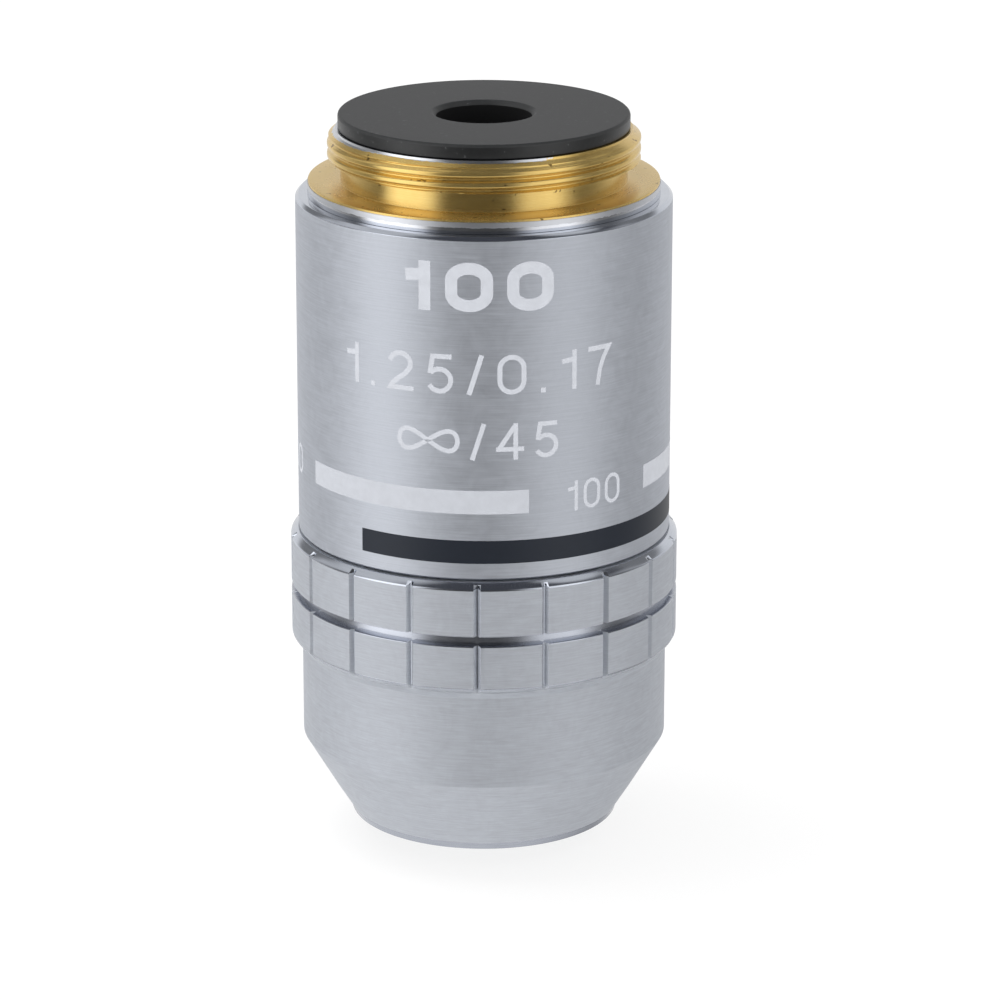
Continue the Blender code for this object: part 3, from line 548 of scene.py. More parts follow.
# Chrome in the grip's grooves, on its edges and on the rim, as the cutter left it: darker, partly
# as duller chrome and partly as painted shade in the recesses, with some gloss.
GROOVE_CHROME_AND_SHADE = metal_piece(
    "grooved_chrome_and_painted_shade", "#babec7", "#aeb2bc", 0.22, 0.04, 2.0 * MM, 0.05 * MM, 0.001 * MM, 0.0)
# Bright chrome on bevels and nose: a slightly blue mirror of lights and dark room.
POLISHED_CHROME = metal_piece(
    "polished_chrome", "#c9ced8", "#bfc4ce", 0.14, 0.03, 3.0 * MM, 0.05 * MM, 0.001 * MM, 0.0)
# Bare brass as turned: pale gold where it meets a light, ochre where it meets itself.
TURNED_BRASS = metal_piece(
    "turned_brass", BRASS_LIGHT, BRASS_DARK, 0.22, 0.04, 4.0 * MM, 0.05 * MM, 0.002 * MM, 0.0)
PART_PLATED_BRASS = mount_metal()
# Brass blackened by oxide round the lenses: near black, with a dull metal sheen.
BLACKENED_BRASS = metal_piece(
    "blackened_brass", "#34322f", "#262422", 0.45, 0.05, 3.0 * MM, 0.06 * MM, 0.002 * MM, 0.0)
# Drawn and turned spring steel: cool grey, with a soft gloss.
SPRING_STEEL = metal_piece(
    "drawn_steel", "#c4c4c6", "#a9a9ac", 0.28, 0.05, 1.5 * MM, 0.3 * MM, 0.001 * MM, 0.0)
# Moulded black plastic of the plug's face: matt, dark grey.
BLACK_PLASTIC = black_plastic("moulded_black_plastic", "#292a2b", "#252627", 0.5)
# The same plastic on the plug's upright rim: blacker as painted shade on that side, with more
# gloss.
SIDE_SHADE_PLASTIC = black_plastic("side_black_plastic_painted_shade", "#1c1d1e", "#18191a", 0.4)
# The plug's plastic inside its hole, coloured black as painted shade where little light gets out
# again: without gloss.
HOLE_SHADE_BLACK = even_finish("hole_painted_shade", "#131314", 0.9)
# White enamel in the bands: chalky, slightly blue, with a low gloss.
WHITE_ENAMEL = even_finish("white_enamel", "#c3c6cd", 0.45)
# The same enamel in the engraved figures, where it lies thicker: a clearer white.
FIGURE_ENAMEL = even_finish("figure_enamel", "#cbced5", 0.45)
# Black enamel in the immersion band: blue black, with a low gloss.
BLACK_ENAMEL = even_finish("black_enamel", "#1c222d", 0.45)
# Polished optical glass, the light crown and the heavy flint: clear, blue white and straw.
CROWN_GLASS = glass("crown_glass", "#f7fbff", 1.52)
FLINT_GLASS = glass("flint_glass", "#fbf9ee", 1.65)

FINISHES = {
    "satin_chrome": SATIN_CHROME,
    "turned_brass": TURNED_BRASS,
    "black_plastic": BLACK_PLASTIC,
    "blackened_brass": BLACKENED_BRASS,
    "steel": SPRING_STEEL,
    "crown_glass": CROWN_GLASS,
    "flint_glass": FLINT_GLASS,
}


def finish_piece(name, bm, materials, body, nodes=(), sharp=SHARP):
    """Make a piece of a bmesh, on its body and in place of the CAD nodes it stands for."""
    bmesh.ops.remove_doubles(bm, verts=bm.verts, dist=MERGE)
    bmesh.ops.recalc_face_normals(bm, faces=bm.faces)
    mesh = bpy.data.meshes.new(name)
    bm.to_mesh(mesh)
    bm.free()
    mesh.shade_smooth()
    mesh.set_sharp_from_angle(angle=sharp)
    for material in materials:
        mesh.materials.append(material)
    piece = new_object(name, mesh)
    shading = piece.modifiers.new("even_shading", "WEIGHTED_NORMAL")
    shading.keep_sharp = True
    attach(piece, body)
    if nodes:
        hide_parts(*nodes)
    return piece


def outline(points):
    """Closed wire in the XZ plane of (radius, height, edge round) points."""
    bm = bmesh.new()
    corners = [bm.verts.new((radius, 0.0, height)) for radius, height, _ in points]
    for corner, following in zip(corners, corners[1:] + corners[:1]):
        bm.edges.new((corner, following))
    for corner, (_, _, edge_round) in zip(corners, points):
        if edge_round:
            bmesh.ops.bevel(
                bm, geom=[corner], offset=edge_round, segments=ROUND_STEPS,
                profile=0.5, affect="VERTICES", material=-1)
    return bm


def turn(bm, steps):
    """Spin a wire once round Z."""
    bmesh.ops.spin(
        bm, geom=[*bm.verts, *bm.edges], axis=UP, cent=ORIGIN,
        angle=math.tau, steps=steps, use_merge=True)
    return bm


def mark(bm, materials, finish, low, high, inner=0.0, outer=math.inf):
    """Give the faces between two heights and two radii one of the piece's materials."""
    index = materials.index(finish)
    for face in bm.faces:
        middle = face.calc_center_median()
        if low < middle.z < high and inner < middle.xy.length < outer:
            face.material_index = index


def radius_of(vert):
    return math.hypot(vert.co.x, vert.co.y)


def azimuth_of(vert):
    return math.atan2(vert.co.x, -vert.co.y)


def set_radius(vert, radius):
    share = radius / radius_of(vert)
    vert.co.x *= share
    vert.co.y *= share


def sleeve_points():
    """Half outline of the sleeve, with the fine line in the knurl's foot bevel."""
    foot_height = LOWER_ROW_Z - PLAIN_TOP_Z
    line_z = LOWER_ROW_Z - FOOT_LINE * foot_height
    line_r = KNURL_R - FOOT_LINE * KNURL_RISE
    lean = KNURL_RISE / foot_height
    half = FOOT_LINE_WIDTH / 2.0
    grip_foot_z = PLAIN_TOP_Z + (GRIP_FLOOR_R - PLAIN_BAND_R) / lean
    grip_head_z = (KNURL_TOP_Z + (KNURL_R - GRIP_FLOOR_R) / KNURL_TOP_IN
                   * (SLEEVE_HIGH.z - KNURL_TOP_Z))
    return [
        (KNURL_R - KNURL_TOP_IN, SLEEVE_HIGH.z, FINE_ROUND),
        (GRIP_FLOOR_R, grip_head_z, 0.0),
        (KNURL_R, KNURL_TOP_Z, 0.0),
        (KNURL_R, UPPER_ROW_Z, 0.0),
        (ROW_FLOOR_R, UPPER_ROW_Z, 0.0),
        (ROW_FLOOR_R, ROW_GROOVE_Z, 0.0),
        (KNURL_R, ROW_GROOVE_Z, 0.0),
        (KNURL_R, LOWER_ROW_Z, 0.0),
        (line_r + half * lean, line_z + half, 0.0),
        (line_r - FOOT_LINE_DEPTH, line_z, 0.0),
        (line_r - half * lean, line_z - half, 0.0),
        (GRIP_FLOOR_R, grip_foot_z, 0.0),
        (PLAIN_BAND_R, PLAIN_TOP_Z, SOFT_ROUND),
        (PLAIN_BAND_R, CONE_TOP_Z, BROKEN_ROUND),
        (CONE_FOOT_R, CONE_FOOT_Z, BROKEN_ROUND),
        (RIM_EDGE_R, RIM_EDGE_Z, SOFT_ROUND),
        (RIM_R, SLEEVE_LOW.z, BROKEN_ROUND),
        (LIP_R, SLEEVE_LOW.z, BROKEN_ROUND),
        (LIP_R, LIP_Z, 0.0),
        (CONE_FOOT_R - CONE_WALL, LIP_Z, 0.0),
        (PLAIN_BAND_R - CONE_WALL, CONE_TOP_Z, 0.0),
        (PLAIN_BAND_R - CONE_WALL, SLEEVE_SEAT_Z, 0.0),
        (SLEEVE_BORE_R, SLEEVE_SEAT_Z, 0.0),
        (SLEEVE_BORE_R, SLEEVE_HIGH.z, FINE_ROUND),
    ]


def block_edge(edge):
    """True on an edge that a grip block's bevel runs along."""
    low, high = sorted(edge.verts, key=lambda vert: vert.co.z)
    if min(radius_of(low), radius_of(high)) < KNURL_R - NEAR:
        return False
    if high.co.z - low.co.z > NEAR:
        return True
    return any(abs(low.co.z - level) < NEAR
               for level in (LOWER_ROW_Z, ROW_GROOVE_Z, UPPER_ROW_Z, KNURL_TOP_Z))


def edge_in_block(edge):
    """True on an upright edge inside a block's face, between two facets that are almost level."""
    return len(edge.link_faces) == 2 and edge.calc_face_angle() < ALMOST_LEVEL


def spin_sleeve(bm):
    """Spin the sleeve's outline round Z, in finer steps over each groove of the grip."""
    wall_arc = (GRIP_TOP_ARC - GRIP_FLOOR_ARC) / 2.0
    start = math.radians(GRIP_TURN - 90.0) - GRIP_TOP_ARC / 2.0
    bmesh.ops.rotate(bm, verts=bm.verts, cent=ORIGIN, matrix=Matrix.Rotation(start, 3, "Z"))
    front = [*bm.verts, *bm.edges]
    for _ in range(GRIP_BLOCKS):
        for arc, steps in ((wall_arc, 1), (GRIP_FLOOR_ARC, 1), (wall_arc, 1),
                           (GRIP_SECTOR - GRIP_TOP_ARC, BLOCK_STEPS)):
            front = bmesh.ops.spin(
                bm, geom=front, axis=UP, cent=ORIGIN, angle=arc, steps=steps)["geom_last"]
    bmesh.ops.remove_doubles(bm, verts=bm.verts, dist=MERGE)


def sink_grooves(bm):
    """Bring the floors of the milled grooves in to their radius."""
    half = GRIP_SECTOR / 2.0
    for vert in bm.verts:
        off_groove = (azimuth_of(vert) - math.radians(GRIP_TURN) + half) % GRIP_SECTOR - half
        if abs(off_groove) < GRIP_FLOOR_ARC and radius_of(vert) > GRIP_FLOOR_R:
            set_radius(vert, GRIP_FLOOR_R)


def front_sleeve():
    """Grip sleeve, turned and milled as one with its cone: two rows of blocks, a plain band."""
    materials = [GRIP_CHROME, GROOVE_CHROME_AND_SHADE, POLISHED_CHROME]
    bm = outline(sleeve_points())
    spin_sleeve(bm)
    sink_grooves(bm)
    steep = [edge for edge in bm.edges if block_edge(edge) and not edge_in_block(edge)]
    bmesh.ops.bevel(bm, geom=steep, offset=BLOCK_BEVEL, segments=BLOCK_BEVEL_STEPS, profile=0.5,
                    affect="EDGES", material=-1)
    # Groove floors, row groove and block edges: darker chrome that is partly painted shade.
    mark(bm, materials, GROOVE_CHROME_AND_SHADE, LOWER_ROW_Z - BLOCK_BEVEL, KNURL_TOP_Z,
         inner=GRIP_OUTSIDE_R)
    for low, high in ((LOWER_ROW_Z, ROW_GROOVE_Z), (UPPER_ROW_Z, KNURL_TOP_Z)):
        mark(bm, materials, GRIP_CHROME, low + BLOCK_BEVEL, high - BLOCK_BEVEL,
             inner=GRIP_FLOOR_R + CLEAR)
    mark(bm, materials, POLISHED_CHROME, KNURL_TOP_Z - BLOCK_BEVEL, SLEEVE_HIGH.z,
         inner=TOP_OUTSIDE_R)
    # The rim: the same darker chrome, partly painted shade.
    mark(bm, materials, GROOVE_CHROME_AND_SHADE, 0.0, RIM_EDGE_Z)
    return finish_piece("grip_sleeve", bm, materials, "housing",
                        ["front_sleeve"])


def outer_barrel():
    """Plain barrel: satin face, small bevel at the foot, bigger one at the top."""
    materials = [SATIN_CHROME, POLISHED_CHROME]
    bm = outline([
        (BARREL_R - BARREL_TOP_EDGE, BARREL_HIGH.z, HAIR_ROUND),
        (BARREL_R, BARREL_HIGH.z - BARREL_TOP_EDGE, FINE_ROUND),
        (BARREL_R, BARREL_LOW.z + BARREL_FOOT_EDGE, HAIR_ROUND),
        (BARREL_R - BARREL_FOOT_EDGE, BARREL_LOW.z, HAIR_ROUND),
        (BARREL_BORE_R, BARREL_LOW.z, 0.0),
        (BARREL_BORE_R, BARREL_HIGH.z, 0.0),
    ])
    turn(bm, TURN_STEPS)
    mark(bm, materials, POLISHED_CHROME, BARREL_HIGH.z - BARREL_TOP_EDGE - CLEAR,
         BARREL_HIGH.z + MM)
    return finish_piece("plain_barrel", bm, materials, "housing",
                        ["outer_barrel"])


def thread_radius(azimuth, height):
    """Rounded right-handed thread, run out into the relief below and bevelled at the top."""
    turns = height / THREAD_PITCH - azimuth / math.tau
    wave = 0.5 + 0.5 * math.cos(math.tau * turns)
    radius = THREAD_R - THREAD_DEPTH * (1.0 - wave) ** 2
    foot = NECK_R + (height - NECK_TOP_Z) / NECK_RUNOUT * (THREAD_R - NECK_R)
    above_bevel = height - (MOUNT_HIGH.z - CROWN_LAND)
    head = THREAD_R - THREAD_END_IN * min(1.0, 1.0 + above_bevel / THREAD_END_HEIGHT)
    return max(NECK_R, min(radius, foot, head))


def thread_mount():
    """Brass mount with its thread, the plated flange below and the boss inside."""
    points = [
        (MOUNT_BORE_R, MOUNT_HIGH.z, 0.0),
        (MOUNT_BORE_R, MOUNT_LOW.z, 0.0),
        (BOSS_R, MOUNT_LOW.z, 0.0),
        (BOSS_R, FLANGE_Z, 0.0),
        (FLANGE_R, FLANGE_Z, HAIR_ROUND),
        (FLANGE_R, SHOULDER_Z - EDGE_HEIGHT, HAIR_ROUND),
        (FLANGE_R - EDGE_IN, SHOULDER_Z - EDGE_HEIGHT, 0.0),
        (FLANGE_R - EDGE_IN, SHOULDER_Z, FINE_ROUND),
        (SHOULDER_SEAT_R, SHOULDER_Z, 0.0),
        (NECK_R, SHOULDER_Z - SHOULDER_DISH, FINE_ROUND),
        (NECK_R, NECK_TOP_Z, 0.0),
    ]
    rows = int(round((MOUNT_HIGH.z - NECK_TOP_Z) / THREAD_ROW))
    for row in range(1, rows + 1):
        height = NECK_TOP_Z + (MOUNT_HIGH.z - NECK_TOP_Z) * row / rows
        points.append((THREAD_R, height, 0.0))
    bm = turn(outline(points), TURN_STEPS)
    for vert in bm.verts:
        if vert.co.z > NECK_TOP_Z - MERGE and radius_of(vert) > NECK_R - MERGE:
            set_radius(vert, thread_radius(azimuth_of(vert), vert.co.z))
    return finish_piece("threaded_mount", bm, [PART_PLATED_BRASS], "housing",
                        ["thread_mount"], sharp=THREAD_SHARP)


def rear_stop():
    """Black plug with the small hole the light leaves through."""
    materials = [BLACK_PLASTIC, HOLE_SHADE_BLACK, SIDE_SHADE_PLASTIC]
    rim_z = STOP_HIGH.z - STOP_RIM_HEIGHT
    bm = outline([
        (STOP_R, STOP_HIGH.z, STOP_ROUND),
        (STOP_R, rim_z, SOFT_ROUND),
        (STOP_PLUG_R, rim_z, 0.0),
        (STOP_PLUG_R, STOP_LOW.z, WIDE_ROUND),
        (STOP_HOLE_R, STOP_LOW.z, SOFT_ROUND),
        (STOP_HOLE_R, STOP_HIGH.z - STOP_HOLE_BEVEL, SOFT_ROUND),
        (STOP_HOLE_R + STOP_HOLE_BEVEL, STOP_HIGH.z, HOLE_ROUND),
    ])
    turn(bm, TURN_STEPS)
    # Inside of the hole: black plastic as painted shade.
    mark(bm, materials, HOLE_SHADE_BLACK, 0.0, STOP_HIGH.z - STOP_HOLE_BEVEL,
         outer=STOP_HOLE_R + CLEAR)
    # Upright side of the rim: darker plastic as painted shade.
    mark(bm, materials, SIDE_SHADE_PLASTIC, 0.0, STOP_HIGH.z - STOP_ROUND,
         inner=STOP_R - 2.0 * CLEAR)
    return finish_piece("rear_plug", bm, materials, "housing", ["rear_stop"])


def ball_radius():
    """Radius of the ball that the front glass is cut from, by its height and its flat."""
    reach = LENS_HIGH.z - LENS_LOW.z
    return (GLASS_FACE_R ** 2 + reach ** 2) / (2.0 * reach)


def nose_cell():
    """Conical nose that carries the front glass, with the spigot it is screwed in by."""
    seat_r = ball_radius() + BEZEL_GAP
    bm = outline([
        (SPIGOT_R, NOSE_HIGH.z, SOFT_ROUND),
        (SPIGOT_R, SPIGOT_LOW_Z, 0.0),
        (NOSE_R, SPIGOT_LOW_Z, SOFT_ROUND),
        (NOSE_R, NOSE_LOW.z + NOSE_CONE_HEIGHT, SOFT_ROUND),
        (NOSE_FLAT_R, NOSE_LOW.z, SOFT_ROUND),
        (GLASS_FACE_R + BEZEL_GAP, NOSE_LOW.z, HAIR_ROUND),
        (BEZEL_KNEE_R, BEZEL_KNEE_Z, WIDE_ROUND),
        (seat_r, BALL_SEAT_Z, WIDE_ROUND),
        (seat_r, NOSE_FLOOR_Z, 0.0),
        (CHAMBER_R, NOSE_FLOOR_Z, 0.0),
        (CHAMBER_R, NOSE_HIGH.z, 0.0),
    ])
    return finish_piece("nose_cone", turn(bm, TURN_STEPS), [POLISHED_CHROME],
                        "lens_unit", ["nose_cell"])


def front_glass():
    """The tiny front lens: more than half a ball, its flat to the slide."""
    ball_r = ball_radius()
    bm = bmesh.new()
    bmesh.ops.create_uvsphere(
        bm, u_segments=GLASS_TURN_STEPS, v_segments=GLASS_ARC_STEPS * 2, radius=ball_r,
        matrix=Matrix.Translation((0.0, 0.0, LENS_HIGH.z - ball_r)))
    cut = bmesh.ops.bisect_plane(
        bm, geom=[*bm.verts, *bm.edges, *bm.faces], plane_co=(0.0, 0.0, LENS_LOW.z),
        plane_no=(0.0, 0.0, -1.0), clear_outer=True)
    rim = [item for item in cut["geom_cut"] if isinstance(item, bmesh.types.BMEdge)]
    bmesh.ops.contextual_create(bm, geom=rim)
    return finish_piece("front_glass", bm, [CROWN_GLASS], "lens_unit",
                        ["front_lens"])


def coil_spring():
    """Spring with closed ends, which the carrier squashes against the mount."""
    start = SPRING_LOW.z + WIRE_R
    end = SPRING_HIGH.z - WIRE_R
    end_rise = END_TURNS * END_PITCH
    active = (end - start - 2.0 * end_rise) / SPRING_PITCH
    bm = bmesh.new()
    bmesh.ops.create_circle(
        bm, cap_ends=True, radius=WIRE_R, segments=WIRE_FACETS,
        matrix=Matrix.Translation((SPRING_R, 0.0, start)) @ Matrix.Rotation(math.pi / 2.0, 4, "X"))
    front = [*bm.verts, *bm.edges, *bm.faces]
    for turns, pitch in ((END_TURNS, END_PITCH), (active, SPRING_PITCH), (END_TURNS, END_PITCH)):
        steps = int(round(turns * WIRE_STEPS_A_TURN))
        front = bmesh.ops.spin(
            bm, geom=front, axis=UP, cent=ORIGIN,
            dvec=(0.0, 0.0, turns * pitch / steps), angle=turns * math.tau,
            steps=steps)["geom_last"]
    piece = finish_piece("coil_spring", bm, [SPRING_STEEL], "housing", ["spring"])
    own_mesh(piece)
    return piece


def band(name, start, arc, low, height, material):
    """Ring segment of paint on the barrel."""
    bm = bmesh.new()
    inner, outer = BARREL_R - PAINT_SUNK, BARREL_R + PAINT_PROUD
    corners = [(inner, low), (outer, low), (outer, low + height), (inner, low + height)]
    section = bm.faces.new([bm.verts.new((radius, 0.0, z)) for radius, z in corners])
    bmesh.ops.rotate(bm, verts=bm.verts, cent=ORIGIN,
                     matrix=Matrix.Rotation(math.radians(start - 90.0), 3, "Z"))
    bmesh.ops.spin(
        bm, geom=[*bm.verts, *bm.edges, section], axis=UP, cent=ORIGIN,
        angle=math.radians(arc), steps=int(arc))
    return finish_piece(name, bm, [material], "housing")


def oval(middle, radii, start, end, steps=OVAL_STEPS):
    """Points on an oval arc between two angles in degrees, anticlockwise from the right."""
    points = []
    for step in range(steps + 1):
        angle = math.radians(start + (end - start) * step / steps)
        points.append((middle[0] + radii[0] * math.cos(angle),
                       middle[1] + radii[1] * math.sin(angle)))
    return points


def crossed_loop(half_width, middle, height):
    """Points of the infinity sign."""
    angles = [math.tau * step / LOOP_STEPS for step in range(LOOP_STEPS)]
    return [(half_width + half_width * math.cos(angle),
             middle + height * math.sin(angle) * math.cos(angle)) for angle in angles]


def figure_strokes(figure, half):
    """Width and strokes of a figure one unit high; half is half a stroke's width.

    A stroke is its line and whether it closes on itself.
    """
    low, high = -half, 1.0 + half
    shapes = {
        "0": (0.60, [(oval((0.3, 0.68), (0.3, 0.32), 0, 180)
                      + oval((0.3, 0.32), (0.3, 0.32), 180, 360), True)]),
        "1": (0.36, [([(0.0, 0.76), (0.34, 0.80)], False), ([(0.34, low), (0.34, high)], False)]),
        "2": (0.58, [(oval((0.29, 0.71), (0.28, 0.29), 172, -24)
                      + [(0.42, 0.42), (0.2, 0.24), (0.06, 0.1), (0.01, 0.0),
                         (0.58 + half, 0.0)], False)]),
        "4": (0.62, [([(0.46, low), (0.46, high)], False), ([(0.43, 0.98), (0.02, 0.29)], False),
                     ([(-half, 0.26), (0.62 + half, 0.26)], False)]),
        "5": (0.58, [([(0.53 + half, 1.0), (0.12, 1.0), (0.05, 0.5)], False),
                     (oval((0.29, 0.32), (0.29, 0.32), 140, -152), False)]),
        "7": (0.57, [([(-half, 1.0), (0.57, 1.0), (0.41, 0.72), (0.29, 0.38), (0.22, low)],
                      False)]),
        ".": (0.10, [([(0.05, low), (0.05, half)], False)]),
        "/": (0.32, [([(0.0, low), (0.32, high)], False)]),
        "\u221e": (1.64, [(crossed_loop(0.82, 0.5, 0.62), True)]),
    }
    return shapes[figure]


def stroke_walls(bm, points, closed, move, scale, height):
    """Stand a stroke's line up as a thin wall, for Solidify to widen."""
    line = [bm.verts.new((move + x * scale[0], y * scale[1], 0.0)) for x, y in points]
    following = line[1:] + line[:1] if closed else line[1:]
    edges = [bm.edges.new(pair) for pair in zip(line, following)]
    walls = bmesh.ops.extrude_edge_only(bm, edges=edges)["geom"]
    raised = [item for item in walls if isinstance(item, bmesh.types.BMVert)]
    bmesh.ops.translate(bm, verts=raised, vec=(0.0, 0.0, height))


def figures(name, text, azimuth, low, height, stroke, stretch=1.0, gap=FIGURE_GAP):
    """Plain figures laid on the barrel, centred on an azimuth, their feet at a height."""
    bm = bmesh.new()
    rise = height - stroke
    scale = (rise * stretch, rise)
    move = 0.0
    for figure in text:
        width, strokes = figure_strokes(figure, stroke / rise / 2.0)
        for number, (points, closed) in enumerate(strokes):
            thickness = PAINT_SUNK + PAINT_PROUD - number * STROKE_STEP
            stroke_walls(bm, points, closed, move, scale, thickness)
        move += width * scale[0] + stroke + gap * rise
    span = move - stroke - gap * rise
    bmesh.ops.remove_doubles(bm, verts=bm.verts, dist=MERGE)
    bmesh.ops.translate(bm, verts=bm.verts, vec=(-span / 2.0, stroke / 2.0, 0.0))
    flat = bpy.data.meshes.new(name + "_strokes")
    bm.to_mesh(flat)
    bm.free()
    shape = new_object(name + "_strokes", flat)
    widen = shape.modifiers.new("stroke", "SOLIDIFY")
    widen.thickness = stroke
    widen.offset = 0.0
    widen.use_even_offset = True
    depsgraph = bpy.context.evaluated_depsgraph_get()
    solid = bpy.data.meshes.new_from_object(shape.evaluated_get(depsgraph))
    bm = bmesh.new()
    bm.from_mesh(solid)
    bpy.data.objects.remove(shape, do_unlink=True)
    bpy.data.meshes.remove(flat)
    bpy.data.meshes.remove(solid)
    wrap(bm, azimuth, low)
    return finish_piece(name, bm, [FIGURE_ENAMEL], "housing")


def wrap(bm, azimuth, low):
    """Cut flat figures in strips and bend them round the barrel."""
    left = min(vert.co.x for vert in bm.verts)
    right = max(vert.co.x for vert in bm.verts)
    for number in range(1, int((right - left) / STRIP) + 1):
        bmesh.ops.bisect_plane(
            bm, geom=[*bm.verts, *bm.edges, *bm.faces],
            plane_co=(left + number * STRIP, 0.0, 0.0), plane_no=(1.0, 0.0, 0.0))
    for vert in bm.verts:
        place = math.radians(azimuth - 90.0) + vert.co.x / BARREL_R
        radius = BARREL_R - PAINT_SUNK + vert.co.z
        vert.co = (radius * math.cos(place), radius * math.sin(place), low + vert.co.y)


def painted_marks():
    """Figures on the front and the two colour bands."""
    for row in FRONT_FIGURES:
        figures(*row)
    for number in range(WHITE_BANDS):
        start = WHITE_BAND_START + number * 360.0 / WHITE_BANDS
        band(f"white_band_{number + 1}", start, WHITE_BAND_ARC, WHITE_BAND_Z,
             WHITE_BAND_HEIGHT, WHITE_ENAMEL)
        middle = start + (WHITE_BAND_ARC + 360.0 / WHITE_BANDS) / 2.0
        figures(f"band_figures_{number + 1}", "100", middle, BAND_FIGURE_Z,
                BAND_FIGURE_HEIGHT, BAND_FIGURE_STROKE)
    band("black_band", BLACK_BAND_START, BLACK_BAND_ARC, BLACK_BAND_Z, BLACK_BAND_HEIGHT,
         BLACK_ENAMEL)


def dress_nodes():
    """Give every CAD node the finish of its slot."""
    for row in frame["record"]["subparts"]:
        node = frame["nodes"][row["node"]]
        finish = FINISHES[row["material_slot"]]
        if not node.material_slots:
            node.data.materials.append(finish)
        for place in node.material_slots:
            place.material = finish


def camera():
    """Camera where the photograph was taken from."""
    data = bpy.data.cameras.new("camera")
    data.lens = CAMERA_LENS
    data.sensor_width = CAMERA_SENSOR
    data.shift_x = CAMERA_SHIFT_X
    data.shift_y = CAMERA_SHIFT_Y
    data.clip_start = CAMERA_CLIP
    item = new_object("camera", data)
    stand_off(item, toward(0.0, CAMERA_ELEVATION), CAMERA_DISTANCE)
    bpy.context.scene.camera = item


def looked_at(tree, path):
    """Whether the camera sees a ray's end, also when it does so through glass."""
    return add(tree, "Math", {
        0: path.outputs["Is Camera Ray"], 1: path.outputs["Is Transmission Ray"]},
        operation="MAXIMUM")


def floor():
    """Pale floor: near white to the camera, so that it keeps only the object's shadow.

    It is clear from below, so that the nose can be looked at too.
    """
    bm = bmesh.new()
    bmesh.ops.create_grid(bm, x_segments=1, y_segments=1, size=FLOOR_HALF)
    mesh = bpy.data.meshes.new("floor")
    bm.to_mesh(mesh)
    bm.free()
    material = bpy.data.materials.new("pale_floor")
    material.use_nodes = True
    tree = material.node_tree
    tree.nodes.clear()
    path = add(tree, "LightPath")
    plain = add(tree, "BsdfDiffuse", {"Color": linear("#ffffff")})
    white = add(tree, "Emission", {"Color": linear("#ffffff"), "Strength": 1.0})
    seen = add(tree, "MixShader", {"Fac": FLOOR_SHADE, 1: white, 2: plain})
    clear = add(tree, "BsdfTransparent")
    lit = add(tree, "MixShader", {"Fac": looked_at(tree, path), 1: plain, 2: seen})
    side = add(tree, "NewGeometry")
    passes = add(tree, "Math", {
        0: path.outputs["Is Glossy Ray"], 1: side.outputs["Backfacing"]}, operation="MAXIMUM")
    past = add(tree, "MixShader", {"Fac": passes, 1: lit, 2: clear})
    add(tree, "OutputMaterial", {"Surface": past})
    mesh.materials.append(material)
    item = new_object("floor", mesh)


def level_stops(levels):
    """Ramp stops of (azimuth, grey level) pairs all round."""
    return [(azimuth / 360.0 + 0.5, grey(level)) for azimuth, level in levels]


def sine_stops(sines, levels):
    """Ramp stops between two sines of an elevation."""
    return [(sine / 2.0 + 0.5, grey(level)) for sine, level in zip(sines, levels)]


def room_shares(tree, axes):
    """How much of a direction is the table below, and how much the dark room overhead."""
    height = add(tree, "Math", {0: axes.outputs["Z"], 1: 0.5, 2: 0.5}, operation="MULTIPLY_ADD")
    low = add(tree, "ValToRGB", {"Fac": height})
    set_stops(low, sine_stops(TABLE_SINES, (1.0, 0.0)))
    high = add(tree, "ValToRGB", {"Fac": height})
    set_stops(high, sine_stops(OVERHEAD_SINES, (0.0, 1.0)))
    lean = add(tree, "Math", {0: axes.outputs["Y"], 1: BACK_LEAN, 2: axes.outputs["Z"]},
               operation="MULTIPLY_ADD")
    past_back = add(tree, "MapRange", {
        "Value": lean, "From Min": BACK_SINES[0], "From Max": BACK_SINES[1]})
    dark = add(tree, "Math", {0: high, 1: past_back}, operation="MAXIMUM")
    return low, dark


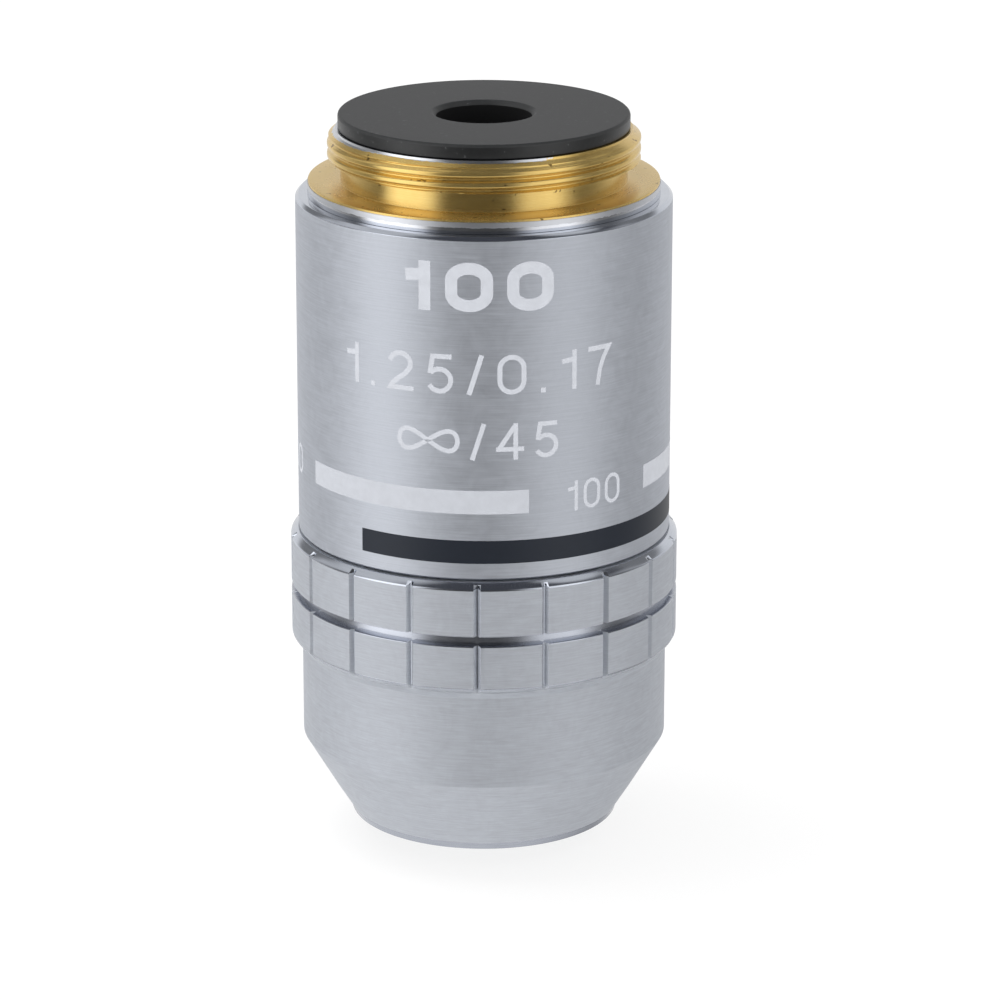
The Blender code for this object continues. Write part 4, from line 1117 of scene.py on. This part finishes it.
def mirrored_studio(tree):
    """Colour of the studio by direction, as metal sees it."""
    place = add(tree, "TexCoord")
    axes = add(tree, "SeparateXYZ", {"Vector": place.outputs["Generated"]})
    front = add(tree, "Math", {0: axes.outputs["Y"], 1: -1.0}, operation="MULTIPLY")
    angle = add(tree, "Math", {0: axes.outputs["X"], 1: front}, operation="ARCTAN2")
    share = add(tree, "Math", {0: angle, 1: 1.0 / math.tau, 2: 0.5}, operation="MULTIPLY_ADD")
    boxes = add(tree, "ValToRGB", {"Fac": share})
    set_stops(boxes, level_stops(ROUND_LEVELS))
    under = add(tree, "ValToRGB", {"Fac": share})
    set_stops(under, level_stops(UNDER_LEVELS))
    below, overhead = room_shares(tree, axes)
    upper = add(tree, "Mix", {0: overhead, 6: boxes, 7: ROOM_OVERHEAD},
                data_type="RGBA").outputs[2]
    for azimuth, elevation, spread, level in HIGH_PATCHES:
        aim = add(tree, "VectorMath", {
            0: place.outputs["Generated"], 1: toward(azimuth, elevation)},
            operation="DOT_PRODUCT")
        outside, inside = [math.cos(math.radians(part * spread)) for part in PATCH_EDGE]
        lit = add(tree, "MapRange", {
            "Value": aim.outputs["Value"], "From Min": outside, "From Max": inside})
        upper = add(tree, "Mix", {0: lit, 6: upper, 7: grey(level)}, data_type="RGBA").outputs[2]
    return add(tree, "Mix", {0: below, 6: upper, 7: under}, data_type="RGBA").outputs[2]


def world():
    """Studio round the object, white to the camera.

    Metal sees two tall soft boxes at the front left and right, the dark room between and over
    them, and the pale backdrop behind the object, which comes forward under it.
    """
    item = bpy.data.worlds.new("studio")
    bpy.context.scene.world = item
    item.use_nodes = True
    tree = item.node_tree
    tree.nodes.clear()
    path = add(tree, "LightPath")
    strong = add(tree, "Background", {"Color": mirrored_studio(tree), "Strength": MIRROR_STRENGTH})
    soft = add(tree, "Background", {"Color": grey(1.0), "Strength": LIGHT_STRENGTH})
    white = add(tree, "Background", {"Color": grey(1.0), "Strength": 1.0})
    metal = add(tree, "MixShader", {"Fac": path.outputs["Is Glossy Ray"], 1: soft, 2: strong})
    seen = add(tree, "MixShader", {"Fac": looked_at(tree, path), 1: metal, 2: white})
    add(tree, "OutputWorld", {"Surface": seen})


def lamp():
    """Square soft box, high at the left, that faces the middle of the object."""
    data = bpy.data.lights.new("high_left_box", "AREA")
    data.shape = "SQUARE"
    data.size = LAMP_SIZE
    data.energy = LAMP_WATTS
    item = new_object("high_left_box", data)
    stand_off(item, toward(LAMP_AZIMUTH, LAMP_ELEVATION), LAMP_DISTANCE)
    item.visible_glossy = False     # metal sees the studio of the world instead


dress_nodes()
front_sleeve()
outer_barrel()
thread_mount()
rear_stop()
nose_cell()
front_glass()
coil_spring()
painted_marks()
camera()
floor()
world()
lamp()

bpy.context.scene.view_settings.view_transform = "Standard"
